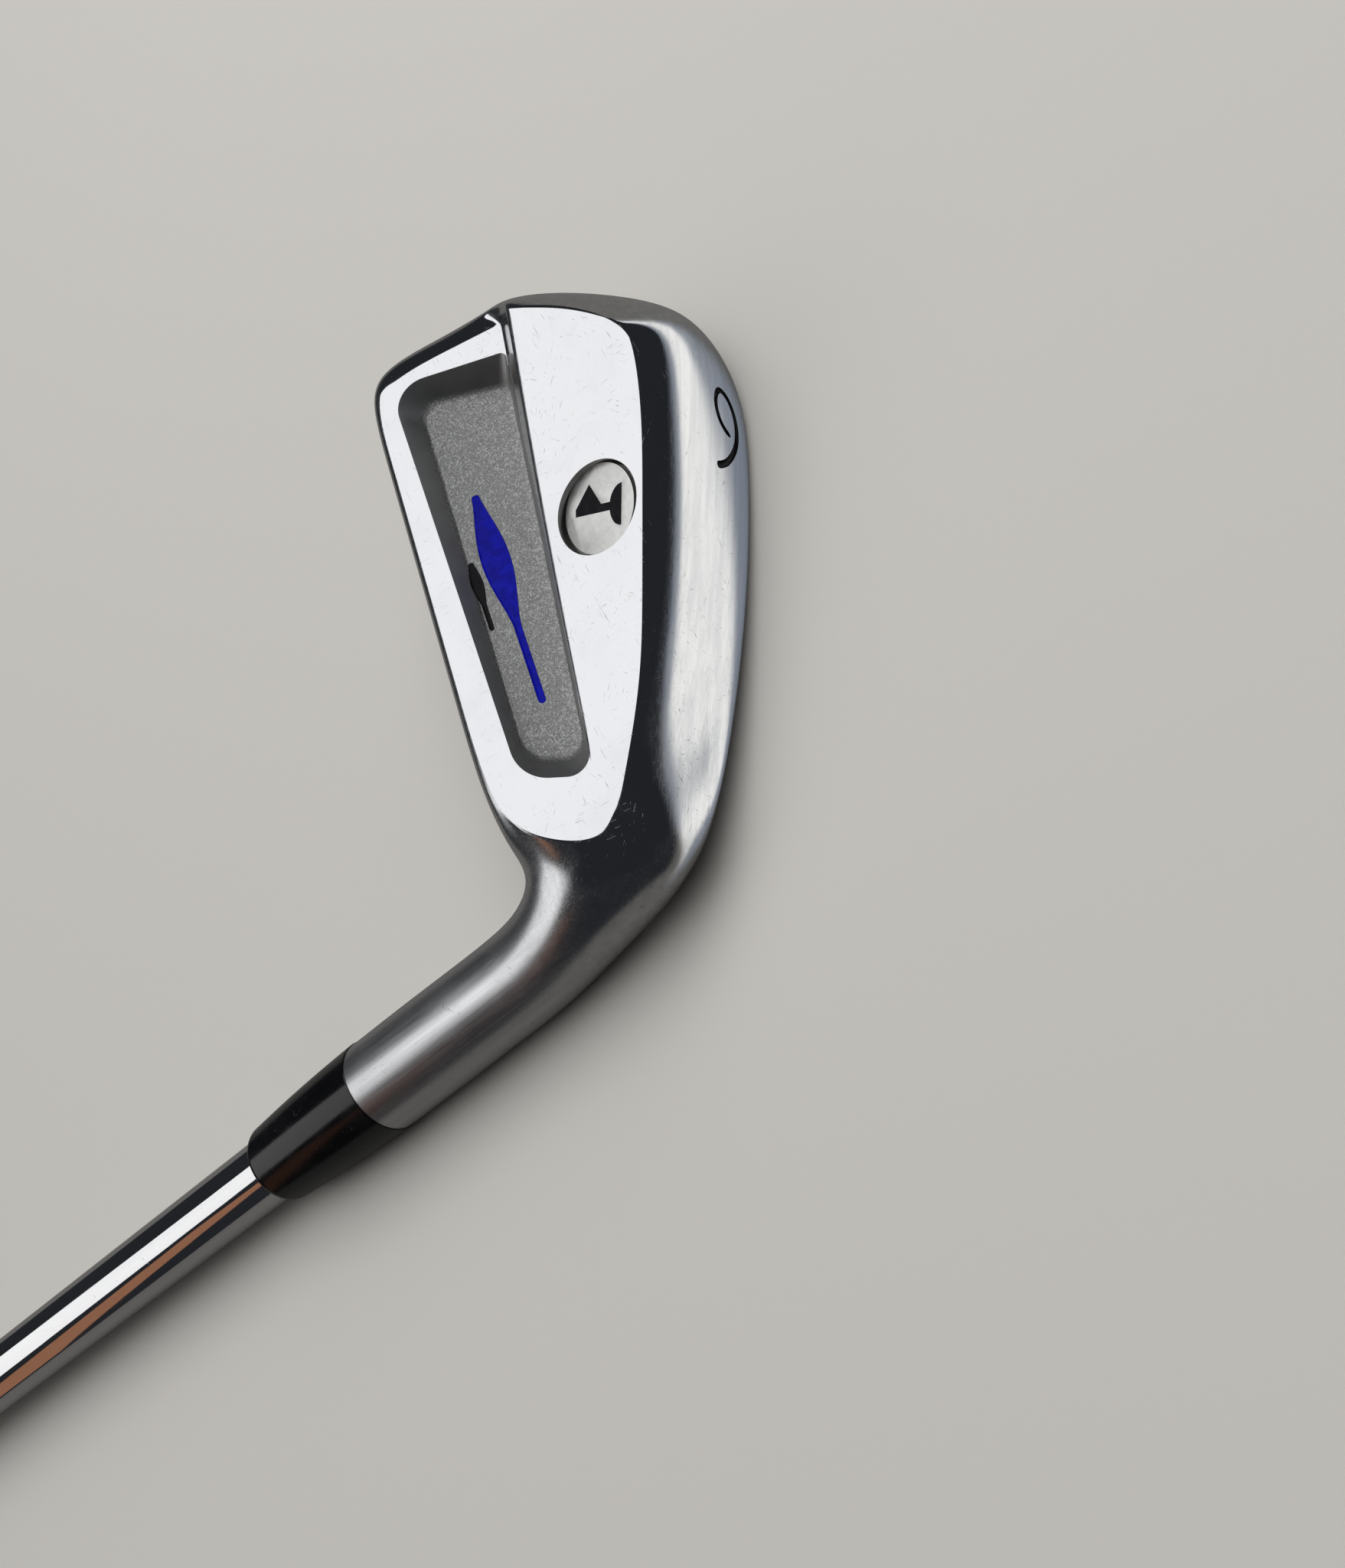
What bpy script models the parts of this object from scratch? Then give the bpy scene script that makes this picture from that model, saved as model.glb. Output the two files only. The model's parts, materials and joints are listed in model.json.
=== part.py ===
"""Iron golf club: forged cavity-back head, stepped steel shaft, ferrule, badge, enamel and grip.

The head is modelled in its own frame: +X runs from heel to toe along the score lines, +Y runs
up the face from sole to topline, +Z points out of the back, and the face is the plane Z = 0.
The hosel axis crosses that frame at the lie and loft of the club. The whole club is then laid
on the ground with the back of the head up, the way a club rests when it is put down.
"""
import math

import bmesh
import bpy
from mathutils import Matrix, Vector

MM = 0.001

# club geometry
CLUB_LENGTH = 952.0 * MM        # sole to the end of the grip cap, along the shaft
LIE = math.radians(62.0)
LOFT = math.radians(29.0)
LEADING_EDGE_AHEAD = 3.65 * MM  # leading edge ahead of the shaft axis
LEADING_EDGE_HEIGHT = 2.0 * MM  # leading edge above the ground at address
HOSEL_TOP = 63.0 * MM           # ground to the top of the hosel, along the shaft axis

# hosel and shaft fit
SHAFT_TIP_OD = 9.4 * MM
SHAFT_BUTT_OD = 15.24 * MM
EPOXY_THICKNESS = 0.23 * MM
FILM_GAP = 0.06 * MM            # between a glue or tape film and the faces that it bonds
BUTT_GAP = 0.3 * MM             # between two pieces that meet end to end
HOSEL_WALL = 1.6 * MM
HOSEL_WAIST = 0.4 * MM          # how much slimmer the hosel is at its neck
HOSEL_BORE = SHAFT_TIP_OD + 2.0 * (EPOXY_THICKNESS + 2.0 * FILM_GAP)
HOSEL_OD = HOSEL_BORE + 2.0 * HOSEL_WALL
HOSEL_NECK_OD = HOSEL_OD - HOSEL_WAIST
HOSEL_SHOULDER = 11.0 * MM      # top of the hosel to where it starts to slim
HOSEL_WAIST_ENDS = (42.0 * MM, 34.0 * MM)  # of its slim length, along the shaft axis
BORE_DEPTH = 32.0 * MM
TIP_CLEARANCE = 1.5 * MM        # shaft tip to the bottom of the bore

# shaft: a steel tube drawn in steps
SHAFT_TIP_WALL = 0.8 * MM
SHAFT_BUTT_WALL = 0.45 * MM
FIRST_STEP = 235.0 * MM         # shaft tip to the first step
STEP_PITCH = 38.0 * MM
STEP_COUNT = 15
STEP_RUN = 1.5 * MM             # length of the slope of one step
TIP_WEIGHT_LENGTH = 22.0 * MM
TIP_WEIGHT_INSET = 1.0 * MM

# ferrule
FERRULE_LENGTH = 21.5 * MM
FERRULE_END_WALL = 0.95 * MM
FERRULE_ROUNDING = 1.2 * MM
FERRULE_FIT = 0.1 * MM          # radial clearance on the shaft
FERRULE_SWELL = 0.18 * MM       # bulge of its taper
FERRULE_LIP = 0.1 * MM          # least wall at its rounded end

# grip, its tape and the label under it
GRIP_LENGTH = 267.0 * MM
TAPE_THICKNESS = 0.3 * MM
GRIP_BORE = SHAFT_BUTT_OD + 2.0 * (TAPE_THICKNESS + 2.0 * FILM_GAP)
GRIP_MOUTH_WALL = 1.26 * MM
GRIP_BUTT_WALL = 5.46 * MM
GRIP_BEAD_RISE = 1.75 * MM      # bead over the butt
GRIP_MOUTH_OD = GRIP_BORE + 2.0 * GRIP_MOUTH_WALL
GRIP_BUTT_OD = GRIP_BORE + 2.0 * GRIP_BUTT_WALL
GRIP_BEAD_OD = GRIP_BUTT_OD + 2.0 * GRIP_BEAD_RISE
GRIP_BEAD_LENGTH = 9.0 * MM
GRIP_END_WALL = 4.0 * MM
GRIP_CHAMFER = 0.5 * MM         # at the mouth
GRIP_CHAMFER_LENGTH = 1.0 * MM
GRIP_SLIM_LENGTH = 60.0 * MM    # nearly parallel length above the mouth
GRIP_SLIM_GROWTH = 0.7 * MM
GRIP_SWELL_START = 90.0 * MM    # from the end of the cap
GRIP_SWELL = 1.2 * MM
GRIP_BEAD_NECK = 6.0 * MM
GRIP_BEAD_EDGE = 2.5 * MM
GRIP_BEAD_ROUND = 2.2 * MM
TAPE_INSET = 4.0 * MM           # tape short of the grip's mouth
CAP_RIM = 5.25 * MM             # rubber round the cap insert
CAP_INSERT_OD = GRIP_BEAD_OD - 2.0 * CAP_RIM
CAP_INSERT_DEPTH = 2.0 * MM
VENT_HOLE = 2.6 * MM
LABEL_LENGTH = 60.0 * MM
LABEL_THICKNESS = 0.12 * MM
LABEL_BELOW_GRIP = 30.0 * MM
LABEL_OFF_STEP = 0.5 * MM

# blade
TOPLINE_THICKNESS = 5.8 * MM    # face to the upper back flat, at the topline
BACK_TAPER = 0.1                # growth of that thickness per unit down the face
POCKET_FLOOR = 3.6 * MM         # face thickness left under the pocket
TOPLINE_SLOPE = 0.322           # rise of the topline along the score lines
TOPLINE_V = 46.0 * MM           # back edge of the topline at TOPLINE_U
TOPLINE_U = 53.0 * MM
SOLE_LOW_U = 42.0 * MM          # lowest point of the cambered sole
SOLE_LOW_V = -1.3 * MM
SOLE_CAMBER_RADIUS = 205.0 * MM
SOLE_SHOULDER = -1.5 * MM       # sole's trailing shoulder behind the muscle's lower edge
SOLE_BACK_RISE = 7.4 * MM       # that shoulder over the leading edge
SOLE_MID_RISE = 3.8 * MM
SOLE_MID_DEPTH = 0.55           # of the shoulder's distance from the face
SOLE_FRONT_DROP = 1.2 * MM
SOLE_FRONT_DEPTH = 1.4 * MM
FACE_FOOT_RISE = 1.6 * MM       # flat of the face over the leading edge
TOPLINE_CROWN = ((1.1 * MM, 0.9 * MM), (1.3 * MM, 3.5 * MM), (0.8 * MM, 5.5 * MM))  # rise, depth

# muscle: a plane that meets the upper flat at the heel and stands proud of it at the toe
MUSCLE_ROOT_U = 2.0 * MM
MUSCLE_ROOT_V = 16.4 * MM
MUSCLE_RISE = 0.125             # per unit towards the toe
MUSCLE_FALL = 0.33              # per unit up the face
STEP_SLOPE = 0.2                # of the step's upper edge along the score lines
STEP_BOW = 0.5 * MM             # bulge of that edge at mid length
STEP_LENGTH = 62.0 * MM
STEP_DRAFT = 0.35               # run of the step wall per unit of its height
MUSCLE_EDGE_V = 11.2 * MM       # lower edge of the polished muscle facet

# pocket in the upper flat: its rim and its floor, both four-sided with rounded corners
POCKET_MARGIN = 0.25 * MM       # pocket's rim to the foot of the step
POCKET_RIM_TOP_V = 29.4 * MM    # topline side of the rim, at POCKET_RIM_TOP_U
POCKET_RIM_TOP_U = 13.5 * MM
POCKET_RIM_SLOPE = 0.355
POCKET_HEEL_U = 3.7 * MM
POCKET_TOE_U = 59.9 * MM        # toe side of the rim, at the step
POCKET_TOE_LEAN = 0.235
POCKET_RIM_RADII = (5.0 * MM, 4.0 * MM, 1.0 * MM, 2.6 * MM)
POCKET_FLOOR_RADII = (4.0 * MM, 2.6 * MM, 1.8 * MM, 2.6 * MM)
POCKET_WALL_RUN = (1.4 * MM, 2.9 * MM, 2.2 * MM, 3.0 * MM)  # topline at heel, at toe, toe, heel
POCKET_STEP_RUN = 0.5 * MM
POCKET_FILLET = 0.6 * MM
POCKET_FILLET_FOOT = 0.6        # of the fillet's size, along the floor
POCKET_SPAN = 45.0 * MM         # length over which the topline wall widens

# badge, on a film of glue in a spot face that dips towards the toe and the topline
BADGE_U = 35.2 * MM
BADGE_V = 16.6 * MM
BADGE_LENGTH = 11.4 * MM
BADGE_WIDTH = 10.0 * MM
BADGE_TURN = math.radians(-28.0)
BADGE_THICKNESS = 1.2 * MM
BADGE_GLUE = 0.2 * MM
BADGE_DIP = math.radians(5.5)
BADGE_DIP_DIRECTION = math.radians(70.0)
BADGE_CLEARANCE = 0.3 * MM
BADGE_GLUE_MARGIN = 0.5 * MM    # how much smaller the glue is than the badge, across

# enamel, in recesses of the pocket's floor
ENAMEL_DEPTH = 0.5 * MM
ENAMEL_BELOW = 0.05 * MM        # enamel's surface below the floor
ENAMEL_CLEARANCE = 0.06 * MM

# score lines in the face
SCORE_COUNT = 13
SCORE_PITCH = 3.0 * MM
SCORE_WIDTH = 0.8 * MM
SCORE_DEPTH = 0.45 * MM
SCORE_FIRST_V = 2.6 * MM
SCORE_HEEL_U = 6.0 * MM
SCORE_TOE_U = 57.0 * MM
SCORE_TOPLINE_MARGIN = 6.5 * MM
SCORE_SHORTEST = 10.0 * MM

OVERCUT = 3.0 * MM              # how far a cutter reaches out of the surface that it opens
ROUND_SEGMENTS = 24
HEAD_SUBDIVISION = 1

# columns of the head's cage, round a section: back, sole, face, topline
COLUMNS = ("b0", "b1", "b2", "b3", "b4", "b5", "s1", "s2", "s3",
           "f5", "f4", "f3", "f2", "f1", "f0", "t3", "t2", "t1")


def shaft_direction():
    """Unit vector up the shaft, in the head's frame."""
    return Vector((-math.cos(LIE), math.sin(LIE) * math.cos(LOFT), -math.sin(LIE) * math.sin(LOFT)))


def shaft_ground_point():
    """Where the shaft axis meets the ground at address, in the head's frame."""
    up = math.sin(LOFT) * LEADING_EDGE_AHEAD - math.cos(LOFT) * LEADING_EDGE_HEIGHT
    back = math.cos(LOFT) * LEADING_EDGE_AHEAD + math.sin(LOFT) * LEADING_EDGE_HEIGHT
    return Vector((0.0, up, back))


def step_height(u, v):
    """Height of the muscle plane over the upper flat."""
    return MUSCLE_RISE * (u - MUSCLE_ROOT_U) - MUSCLE_FALL * (v - MUSCLE_ROOT_V)


def on_flat(u, v):
    """Point of the upper back flat, which thickens from the topline downwards."""
    return Vector((u, v, TOPLINE_THICKNESS + BACK_TAPER * (topline_v(u) - v)))


def on_muscle(u, v):
    """Point of the muscle's flat."""
    return on_flat(u, v) + Vector((0.0, 0.0, step_height(u, v)))


def step_top_v(u):
    along = (u - MUSCLE_ROOT_U) / STEP_LENGTH
    return MUSCLE_ROOT_V + STEP_SLOPE * (u - MUSCLE_ROOT_U) + 4.0 * STEP_BOW * along * (1.0 - along)


def step_base_v(u):
    v = step_top_v(u)
    return v + STEP_DRAFT * max(step_height(u, v), 0.1 * MM)


def topline_v(u):
    """Back edge of the topline."""
    return TOPLINE_V + TOPLINE_SLOPE * (u - TOPLINE_U)


def sole_v(u):
    """Leading edge, cambered from heel to toe."""
    return SOLE_LOW_V + (u - SOLE_LOW_U) ** 2 / (2.0 * SOLE_CAMBER_RADIUS)


def blade_ring(u_top, u_low, edge_v, lift=0.0):
    """A section of the blade from u_top at the topline to u_low at the sole.

    The muscle facet ends at edge_v, and lift raises the sole over its camber.
    """
    top = topline_v(u_top)
    low = sole_v(u_low) + lift

    def u_at(v):
        return u_low + (u_top - u_low) * (v - low) / (top - low)

    def step_u(v_of_u):
        u = (u_top + u_low) / 2.0
        for _ in range(3):
            u = u_at(v_of_u(u))
        return u

    base_u = step_u(step_base_v)
    crest_u = step_u(step_top_v)
    base = step_base_v(base_u)
    crest = step_top_v(crest_u)
    mid_flat = (top + base) / 2.0
    mid_muscle = (crest + edge_v) / 2.0
    shoulder = on_muscle(u_low, edge_v).z + SOLE_SHOULDER
    ring = {
        "b0": on_flat(u_top, top),
        "b1": on_flat(u_at(mid_flat), mid_flat),
        "b2": on_flat(base_u, base),
        "b3": on_muscle(crest_u, crest),
        "b4": on_muscle(u_at(mid_muscle), mid_muscle),
        "b5": on_muscle(u_at(edge_v), edge_v),
        "s1": Vector((u_low, low + SOLE_BACK_RISE, shoulder)),
        "s2": Vector((u_low, low + SOLE_MID_RISE, SOLE_MID_DEPTH * shoulder)),
        "s3": Vector((u_low, low - SOLE_FRONT_DROP, SOLE_FRONT_DEPTH)),
        "f5": Vector((u_low, low + FACE_FOOT_RISE, 0.0)),
        "f0": Vector((u_top, top, 0.0)),
    }
    for name, (rise, depth) in zip(("t3", "t2", "t1"), TOPLINE_CROWN):
        ring[name] = Vector((u_top, top + rise, depth))
    for i in range(1, 5):
        ring["f%d" % i] = ring["f0"].lerp(ring["f5"], i / 5.0)
    return [ring[name] for name in COLUMNS]


def round_ring(centre, across, back, half_across, half_back, half_front):
    """An oval ring of cage points: across points to the crotch side, back out of the back."""
    ring = []
    for i in range(len(COLUMNS)):
        angle = math.radians(40.0 + 20.0 * i)
        depth = half_back if math.sin(angle) > 0.0 else half_front
        ring.append(centre + across * (half_across * math.cos(angle)) + back * (depth * math.sin(angle)))
    return ring


def hosel_ring(distance, diameter):
    """A round section of the hosel, at a distance from the ground along the shaft axis."""
    axis = shaft_direction()
    across = Vector((axis.y, -axis.x, 0.0)).normalized()
    back = axis.cross(across)
    if back.z < 0.0:
        back = -back
    centre = shaft_ground_point() + axis * distance
    radius = diameter / 2.0
    return round_ring(centre, across, back, radius, radius, radius)


def neck_ring(inner, outer, turn, half_back, half_front):
    """A section of the neck between its crotch side and its heel side."""
    axis = shaft_direction()
    across = (inner - outer).normalized()
    upright = Vector((0.0, 0.0, 1.0)) - axis * axis.z
    back = Vector((0.0, 0.0, 1.0)).lerp(upright.normalized(), turn)
    back = (back - across * back.dot(across)).normalized()
    half = (inner - outer).length / 2.0
    return round_ring((inner + outer) / 2.0, across, back, half, half_back, half_front)


def mm(x, y, z):
    return Vector((x, y, z)) * MM


def heel_ring():
    """The heel end of the flats, where the blade turns into the neck."""
    ring = {
        "b0": on_flat(-1.3 * MM, 27.4 * MM),
        "b1": on_flat(-3.3 * MM, 24.2 * MM),
        "b2": on_flat(-4.0 * MM, 20.6 * MM),
        "b3": on_flat(-4.0 * MM, 18.2 * MM),
        "b4": on_flat(-3.4 * MM, 16.2 * MM),
        "b5": on_flat(-1.8 * MM, 14.6 * MM),
        "s1": mm(-3.2, 9.8, 7.0),
        "s2": mm(-3.8, 5.8, 4.8),
        "s3": mm(-3.8, 3.6, 0.0),
        "f5": mm(-3.8, 7.0, -0.9),
        "f0": mm(-4.6, 26.2, -0.5),
        "t3": mm(-4.3, 27.5, 0.3),
        "t2": mm(-3.4, 28.0, 2.6),
        "t1": mm(-2.2, 28.1, 5.0),
    }
    for i in range(1, 5):
        ring["f%d" % i] = ring["f0"].lerp(ring["f5"], i / 5.0)
    return [ring[name] for name in COLUMNS]


def toe_ring():
    """The toe end of the flats, whose corners round the toe."""
    ring = {
        "b0": on_flat(57.2 * MM, 45.3 * MM),
        "b1": on_flat(61.2 * MM, 37.2 * MM),
        "b2": on_flat(64.1 * MM, step_base_v(64.1 * MM)),
        "b3": on_muscle(63.7 * MM, step_top_v(63.7 * MM)),
        "b4": on_muscle(61.9 * MM, 21.3 * MM),
        "b5": on_muscle(58.1 * MM, 14.9 * MM),
        "s1": mm(61.0, 9.0, 13.4),
        "s2": mm(66.6, 5.6, 7.6),
        "s3": mm(68.0, 4.4, 1.6),
        "f5": mm(64.5, 9.4, 0.0),
        "f4": mm(67.6, 20.0, 0.0),
        "f3": mm(67.4, 28.8, 0.0),
        "f2": mm(66.8, 31.8, 0.0),
        "f1": mm(62.8, 38.0, 0.0),
        "f0": mm(58.2, 45.6, 0.0),
        "t3": mm(60.2, 48.4, 0.9),
        "t2": mm(60.4, 48.7, 3.4),
        "t1": mm(59.2, 47.4, 5.4),
    }
    return [ring[name] for name in COLUMNS]


# the rim that runs round the toe: three lines, near the back, at the widest and near the face,
# each with a point at the columns b1 to b4
TOE_RIM = (
    (mm(63.4, 38.4, 6.0), mm(66.7, 32.4, 6.9), mm(66.6, 29.6, 10.2), mm(65.6, 20.6, 11.6)),
    (mm(65.4, 39.5, 3.8), mm(68.8, 32.9, 4.4), mm(69.3, 29.4, 6.4), mm(69.6, 20.4, 7.2)),
    (mm(64.6, 39.0, 0.9), mm(68.1, 32.4, 0.9), mm(69.6, 29.4, 1.2), mm(70.1, 20.0, 1.2)),
)


def head_rings():
    rings = [hosel_ring(HOSEL_TOP, HOSEL_OD), hosel_ring(HOSEL_TOP - HOSEL_SHOULDER, HOSEL_OD)]
    rings += [hosel_ring(height, HOSEL_NECK_OD) for height in HOSEL_WAIST_ENDS]
    rings.append(neck_ring(mm(-8.4, 27.4, -6.8), mm(-16.2, 16.2, -6.3), 0.75, 6.8 * MM, 6.8 * MM))
    rings.append(neck_ring(mm(-6.9, 26.4, -3.6), mm(-11.4, 10.4, -2.2), 0.5, 6.8 * MM, 6.6 * MM))
    rings.append(neck_ring(mm(-5.4, 26.6, -0.4), mm(-7.2, 6.2, 1.0), 0.25, 5.4 * MM, 5.0 * MM))
    rings.append(heel_ring())
    rings.append(blade_ring(3.0 * MM, 3.0 * MM, 13.3 * MM))
    for u in (14.0, 25.0, 36.0, 46.0):
        rings.append(blade_ring(u * MM, u * MM, MUSCLE_EDGE_V))
    rings.append(blade_ring(53.0 * MM, 57.0 * MM, 12.6 * MM, 0.1 * MM))
    rings.append(toe_ring())
    return rings


def head_cage():
    """The control cage of the head: its points, faces and the creases of its flats."""
    rings = head_rings()
    points = [point for ring in rings for point in ring]
    columns = len(COLUMNS)
    last = len(rings) - 1

    def at(ring, name):
        return ring * columns + COLUMNS.index(name)

    faces = []
    for ring in range(last):
        for i in range(columns):
            j = (i + 1) % columns
            a = ring * columns
            b = a + columns
            faces.append((a + i, a + j, b + j, b + i))

    rim = [[at(last, "t1")], [at(last, "t2")], [at(last, "t3")]]
    for line, places in zip(rim, TOE_RIM):
        for place in places:
            line.append(len(points))
            points.append(place)
    for line, name in zip(rim, ("s1", "s2", "s3")):
        line.append(at(last, name))
    back = [at(last, "b%d" % i) for i in range(6)]
    face = [at(last, "f%d" % i) for i in range(6)]
    strips = [back] + rim + [face]
    for upper, lower in zip(strips, strips[1:]):
        for i in range(5):
            faces.append((upper[i], upper[i + 1], lower[i + 1], lower[i]))
    faces.append(tuple(range(columns)))

    creases = {}

    def crease(a, b, value):
        creases[(min(a, b), max(a, b))] = value

    heel = 7
    for ring in range(heel, last):
        crease(at(ring, "b5"), at(ring + 1, "b5"), 1.0)
        crease(at(ring, "b0"), at(ring + 1, "b0"), 0.7)
        crease(at(ring, "f0"), at(ring + 1, "f0"), 0.5)
        crease(at(ring, "f5"), at(ring + 1, "f5"), 0.3)
    for ring in range(heel + 1, last):
        crease(at(ring, "b2"), at(ring + 1, "b2"), 1.0)
        crease(at(ring, "b3"), at(ring + 1, "b3"), 1.0)
    for i in range(5):
        crease(at(heel, "b%d" % i), at(heel, "b%d" % (i + 1)), 0.9)
        crease(back[i], back[i + 1], 1.0)
        crease(face[i], face[i + 1], 0.5)
    crease(back[2], rim[0][2], 0.8)
    crease(back[3], rim[0][3], 0.8)
    for i in range(columns):
        crease(i, (i + 1) % columns, 1.0)
    return points, faces, creases


def clear_scene():
    for thing in list(bpy.data.objects):
        bpy.data.objects.remove(thing, do_unlink=True)


def material(name, colour, roughness, metallic):
    mat = bpy.data.materials.new(name)
    mat.use_nodes = True
    shader = mat.node_tree.nodes["Principled BSDF"]
    shader.inputs["Base Color"].default_value = (*colour, 1.0)
    shader.inputs["Roughness"].default_value = roughness
    shader.inputs["Metallic"].default_value = metallic
    mat.diffuse_color = (*colour, 1.0)
    return mat


def mesh_object(name, points, faces, parent, mat=None):
    """A mesh object under its parent, with its faces turned outwards."""
    mesh = bpy.data.meshes.new(name)
    mesh.from_pydata([tuple(point) for point in points], [], faces)
    work = bmesh.new()
    work.from_mesh(mesh)
    bmesh.ops.recalc_face_normals(work, faces=work.faces)
    work.to_mesh(mesh)
    work.free()
    thing = bpy.data.objects.new(name, mesh)
    bpy.context.scene.collection.objects.link(thing)
    thing.parent = parent
    if mat:
        mesh.materials.append(mat)
    return thing


def empty(name, parent, matrix):
    thing = bpy.data.objects.new(name, None)
    bpy.context.scene.collection.objects.link(thing)
    thing.parent = parent
    thing.matrix_local = matrix
    return thing


def shade_round(thing):
    mesh = thing.data
    mesh.shade_smooth()
    mesh.set_sharp_from_angle(angle=math.radians(35.0))


def cut(thing, cutter):
    """Take the cutter's shape out of a piece, and hide the cutter."""
    cutter.hide_render = True
    cutter.display_type = "WIRE"
    boolean = thing.modifiers.new(cutter.name, "BOOLEAN")
    boolean.operation = "DIFFERENCE"
    boolean.solver = "EXACT"
    boolean.object = cutter


def loft(rings):
    """Faces of a closed solid whose rings, all of one count, follow each other."""
    points = [point for ring in rings for point in ring]
    count = len(rings[0])
    faces = [tuple(range(count)), tuple(range(len(points) - count, len(points)))]
    for ring in range(len(rings) - 1):
        for i in range(count):
            j = (i + 1) % count
            a = ring * count
            b = a + count
            faces.append((a + i, a + j, b + j, b + i))
    return points, faces


def turned(name, profile, parent, mat):
    """A ring-shaped solid about +Z from a closed profile of (radius, height) points."""
    points = []
    faces = []
    count = len(profile)
    for i in range(ROUND_SEGMENTS):
        angle = 2.0 * math.pi * i / ROUND_SEGMENTS
        for radius, height in profile:
            points.append((radius * math.cos(angle), radius * math.sin(angle), height))
    for i in range(ROUND_SEGMENTS):
        a = i * count
        b = (i + 1) % ROUND_SEGMENTS * count
        for k in range(count):
            j = (k + 1) % count
            faces.append((a + k, a + j, b + j, b + k))
    thing = mesh_object(name, points, faces, parent, mat)
    shade_round(thing)
    return thing


def turned_solid(name, profile, parent, mat=None):
    """A solid about +Z from (radius, height) points, closed by flat ends."""
    rings = []
    for radius, height in profile:
        ring = []
        for i in range(ROUND_SEGMENTS):
            angle = 2.0 * math.pi * i / ROUND_SEGMENTS
            ring.append((radius * math.cos(angle), radius * math.sin(angle), height))
        rings.append(ring)
    points, faces = loft(rings)
    thing = mesh_object(name, points, faces, parent, mat)
    shade_round(thing)
    return thing


def rounded(corners, radii, steps=5):
    """An outline of (u, v) corners, each rounded by its radius."""
    outline = []
    count = len(corners)
    for i, radius in enumerate(radii):
        here = Vector(corners[i])
        before = (Vector(corners[i - 1]) - here).normalized()
        after = (Vector(corners[(i + 1) % count]) - here).normalized()
        half = before.angle(after) / 2.0
        centre = here + (before + after).normalized() * (radius / math.sin(half))
        start = here + before * (radius / math.tan(half)) - centre
        end = here + after * (radius / math.tan(half)) - centre
        for step in range(steps + 1):
            spoke = start.lerp(end, step / steps)
            outline.append(centre + spoke.normalized() * radius)
    return outline


def pocket_corners(inset):
    """The pocket's corners, heel-topline, toe-topline, toe-step and heel-step; inset 0 rim, 1 floor."""
    top_heel = POCKET_RIM_TOP_V - inset * POCKET_WALL_RUN[0]
    top_slope = POCKET_RIM_SLOPE - inset * (POCKET_WALL_RUN[1] - POCKET_WALL_RUN[0]) / POCKET_SPAN
    toe = POCKET_TOE_U - inset * POCKET_WALL_RUN[2]
    heel = POCKET_HEEL_U + inset * POCKET_WALL_RUN[3]
    foot = POCKET_MARGIN + inset * POCKET_STEP_RUN

    def top(u):
        return top_heel + top_slope * (u - POCKET_RIM_TOP_U)

    toe_foot = step_base_v(toe) + foot
    toe_top = toe
    for _ in range(8):
        toe_top = toe - POCKET_TOE_LEAN * (top(toe_top) - toe_foot)
    return ((heel, top(heel)), (toe_top, top(toe_top)), (toe, toe_foot), (heel, step_base_v(heel) + foot))


def make_pocket_cutter(parent):
    """The pocket: sloped walls, a small fillet and a flat floor parallel to the face."""
    rim = rounded(pocket_corners(0.0), POCKET_RIM_RADII)
    floor = rounded(pocket_corners(1.0), POCKET_FLOOR_RADII)
    rings = [[on_flat(u, v) + Vector((0.0, 0.0, OVERCUT)) for u, v in rim]]
    rings.append([on_flat(u, v) for u, v in rim])
    knee = []
    for a, b in zip(rings[1], floor):
        foot = Vector((b[0], b[1], POCKET_FLOOR))
        run = foot - a
        knee.append(foot - run * (POCKET_FILLET / max(run.length, POCKET_FILLET)))
    rings.append(knee)
    inner = []
    middle = sum(floor, Vector((0.0, 0.0))) / len(floor)
    for b in floor:
        towards = (middle - b).normalized() * POCKET_FILLET * POCKET_FILLET_FOOT
        inner.append(Vector((b[0] + towards[0], b[1] + towards[1], POCKET_FLOOR)))
    rings.append(inner)
    points, faces = loft(rings)
    return mesh_object("pocket_cutter", points, faces, parent)


def badge_frame(parent):
    """Frame of the spot face: origin on the muscle's flat where the badge is flush with it."""
    across_u = (on_muscle(BADGE_U + MM, BADGE_V) - on_muscle(BADGE_U, BADGE_V)).normalized()
    up_v = on_muscle(BADGE_U, BADGE_V + MM) - on_muscle(BADGE_U, BADGE_V)
    normal = across_u.cross(up_v).normalized()
    up = normal.cross(across_u)
    turn = Matrix((across_u, up, normal)).transposed().to_4x4()
    dip_axis = Vector((-math.sin(BADGE_DIP_DIRECTION), math.cos(BADGE_DIP_DIRECTION), 0.0))
    dip = Matrix.Rotation(BADGE_DIP, 4, dip_axis)
    sink = BADGE_LENGTH / 2.0 * math.sin(BADGE_DIP)
    place = Matrix.Translation(on_muscle(BADGE_U, BADGE_V)) @ turn
    return empty("badge_seat", parent, place @ Matrix.Translation((0.0, 0.0, -sink)) @ dip)


def oval(name, length, width, low, high, parent, mat=None):
    """An oval disc between two heights of the badge's frame."""
    rings = []
    for height in (low, high):
        ring = []
        for i in range(2 * ROUND_SEGMENTS):
            angle = math.pi * i / ROUND_SEGMENTS
            place = Vector((length / 2.0 * math.cos(angle), width / 2.0 * math.sin(angle), height))
            ring.append(Matrix.Rotation(BADGE_TURN, 3, "Z") @ place)
        rings.append(ring)
    points, faces = loft(rings)
    thing = mesh_object(name, points, faces, parent, mat)
    if mat:
        shade_round(thing)
    return thing


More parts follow.
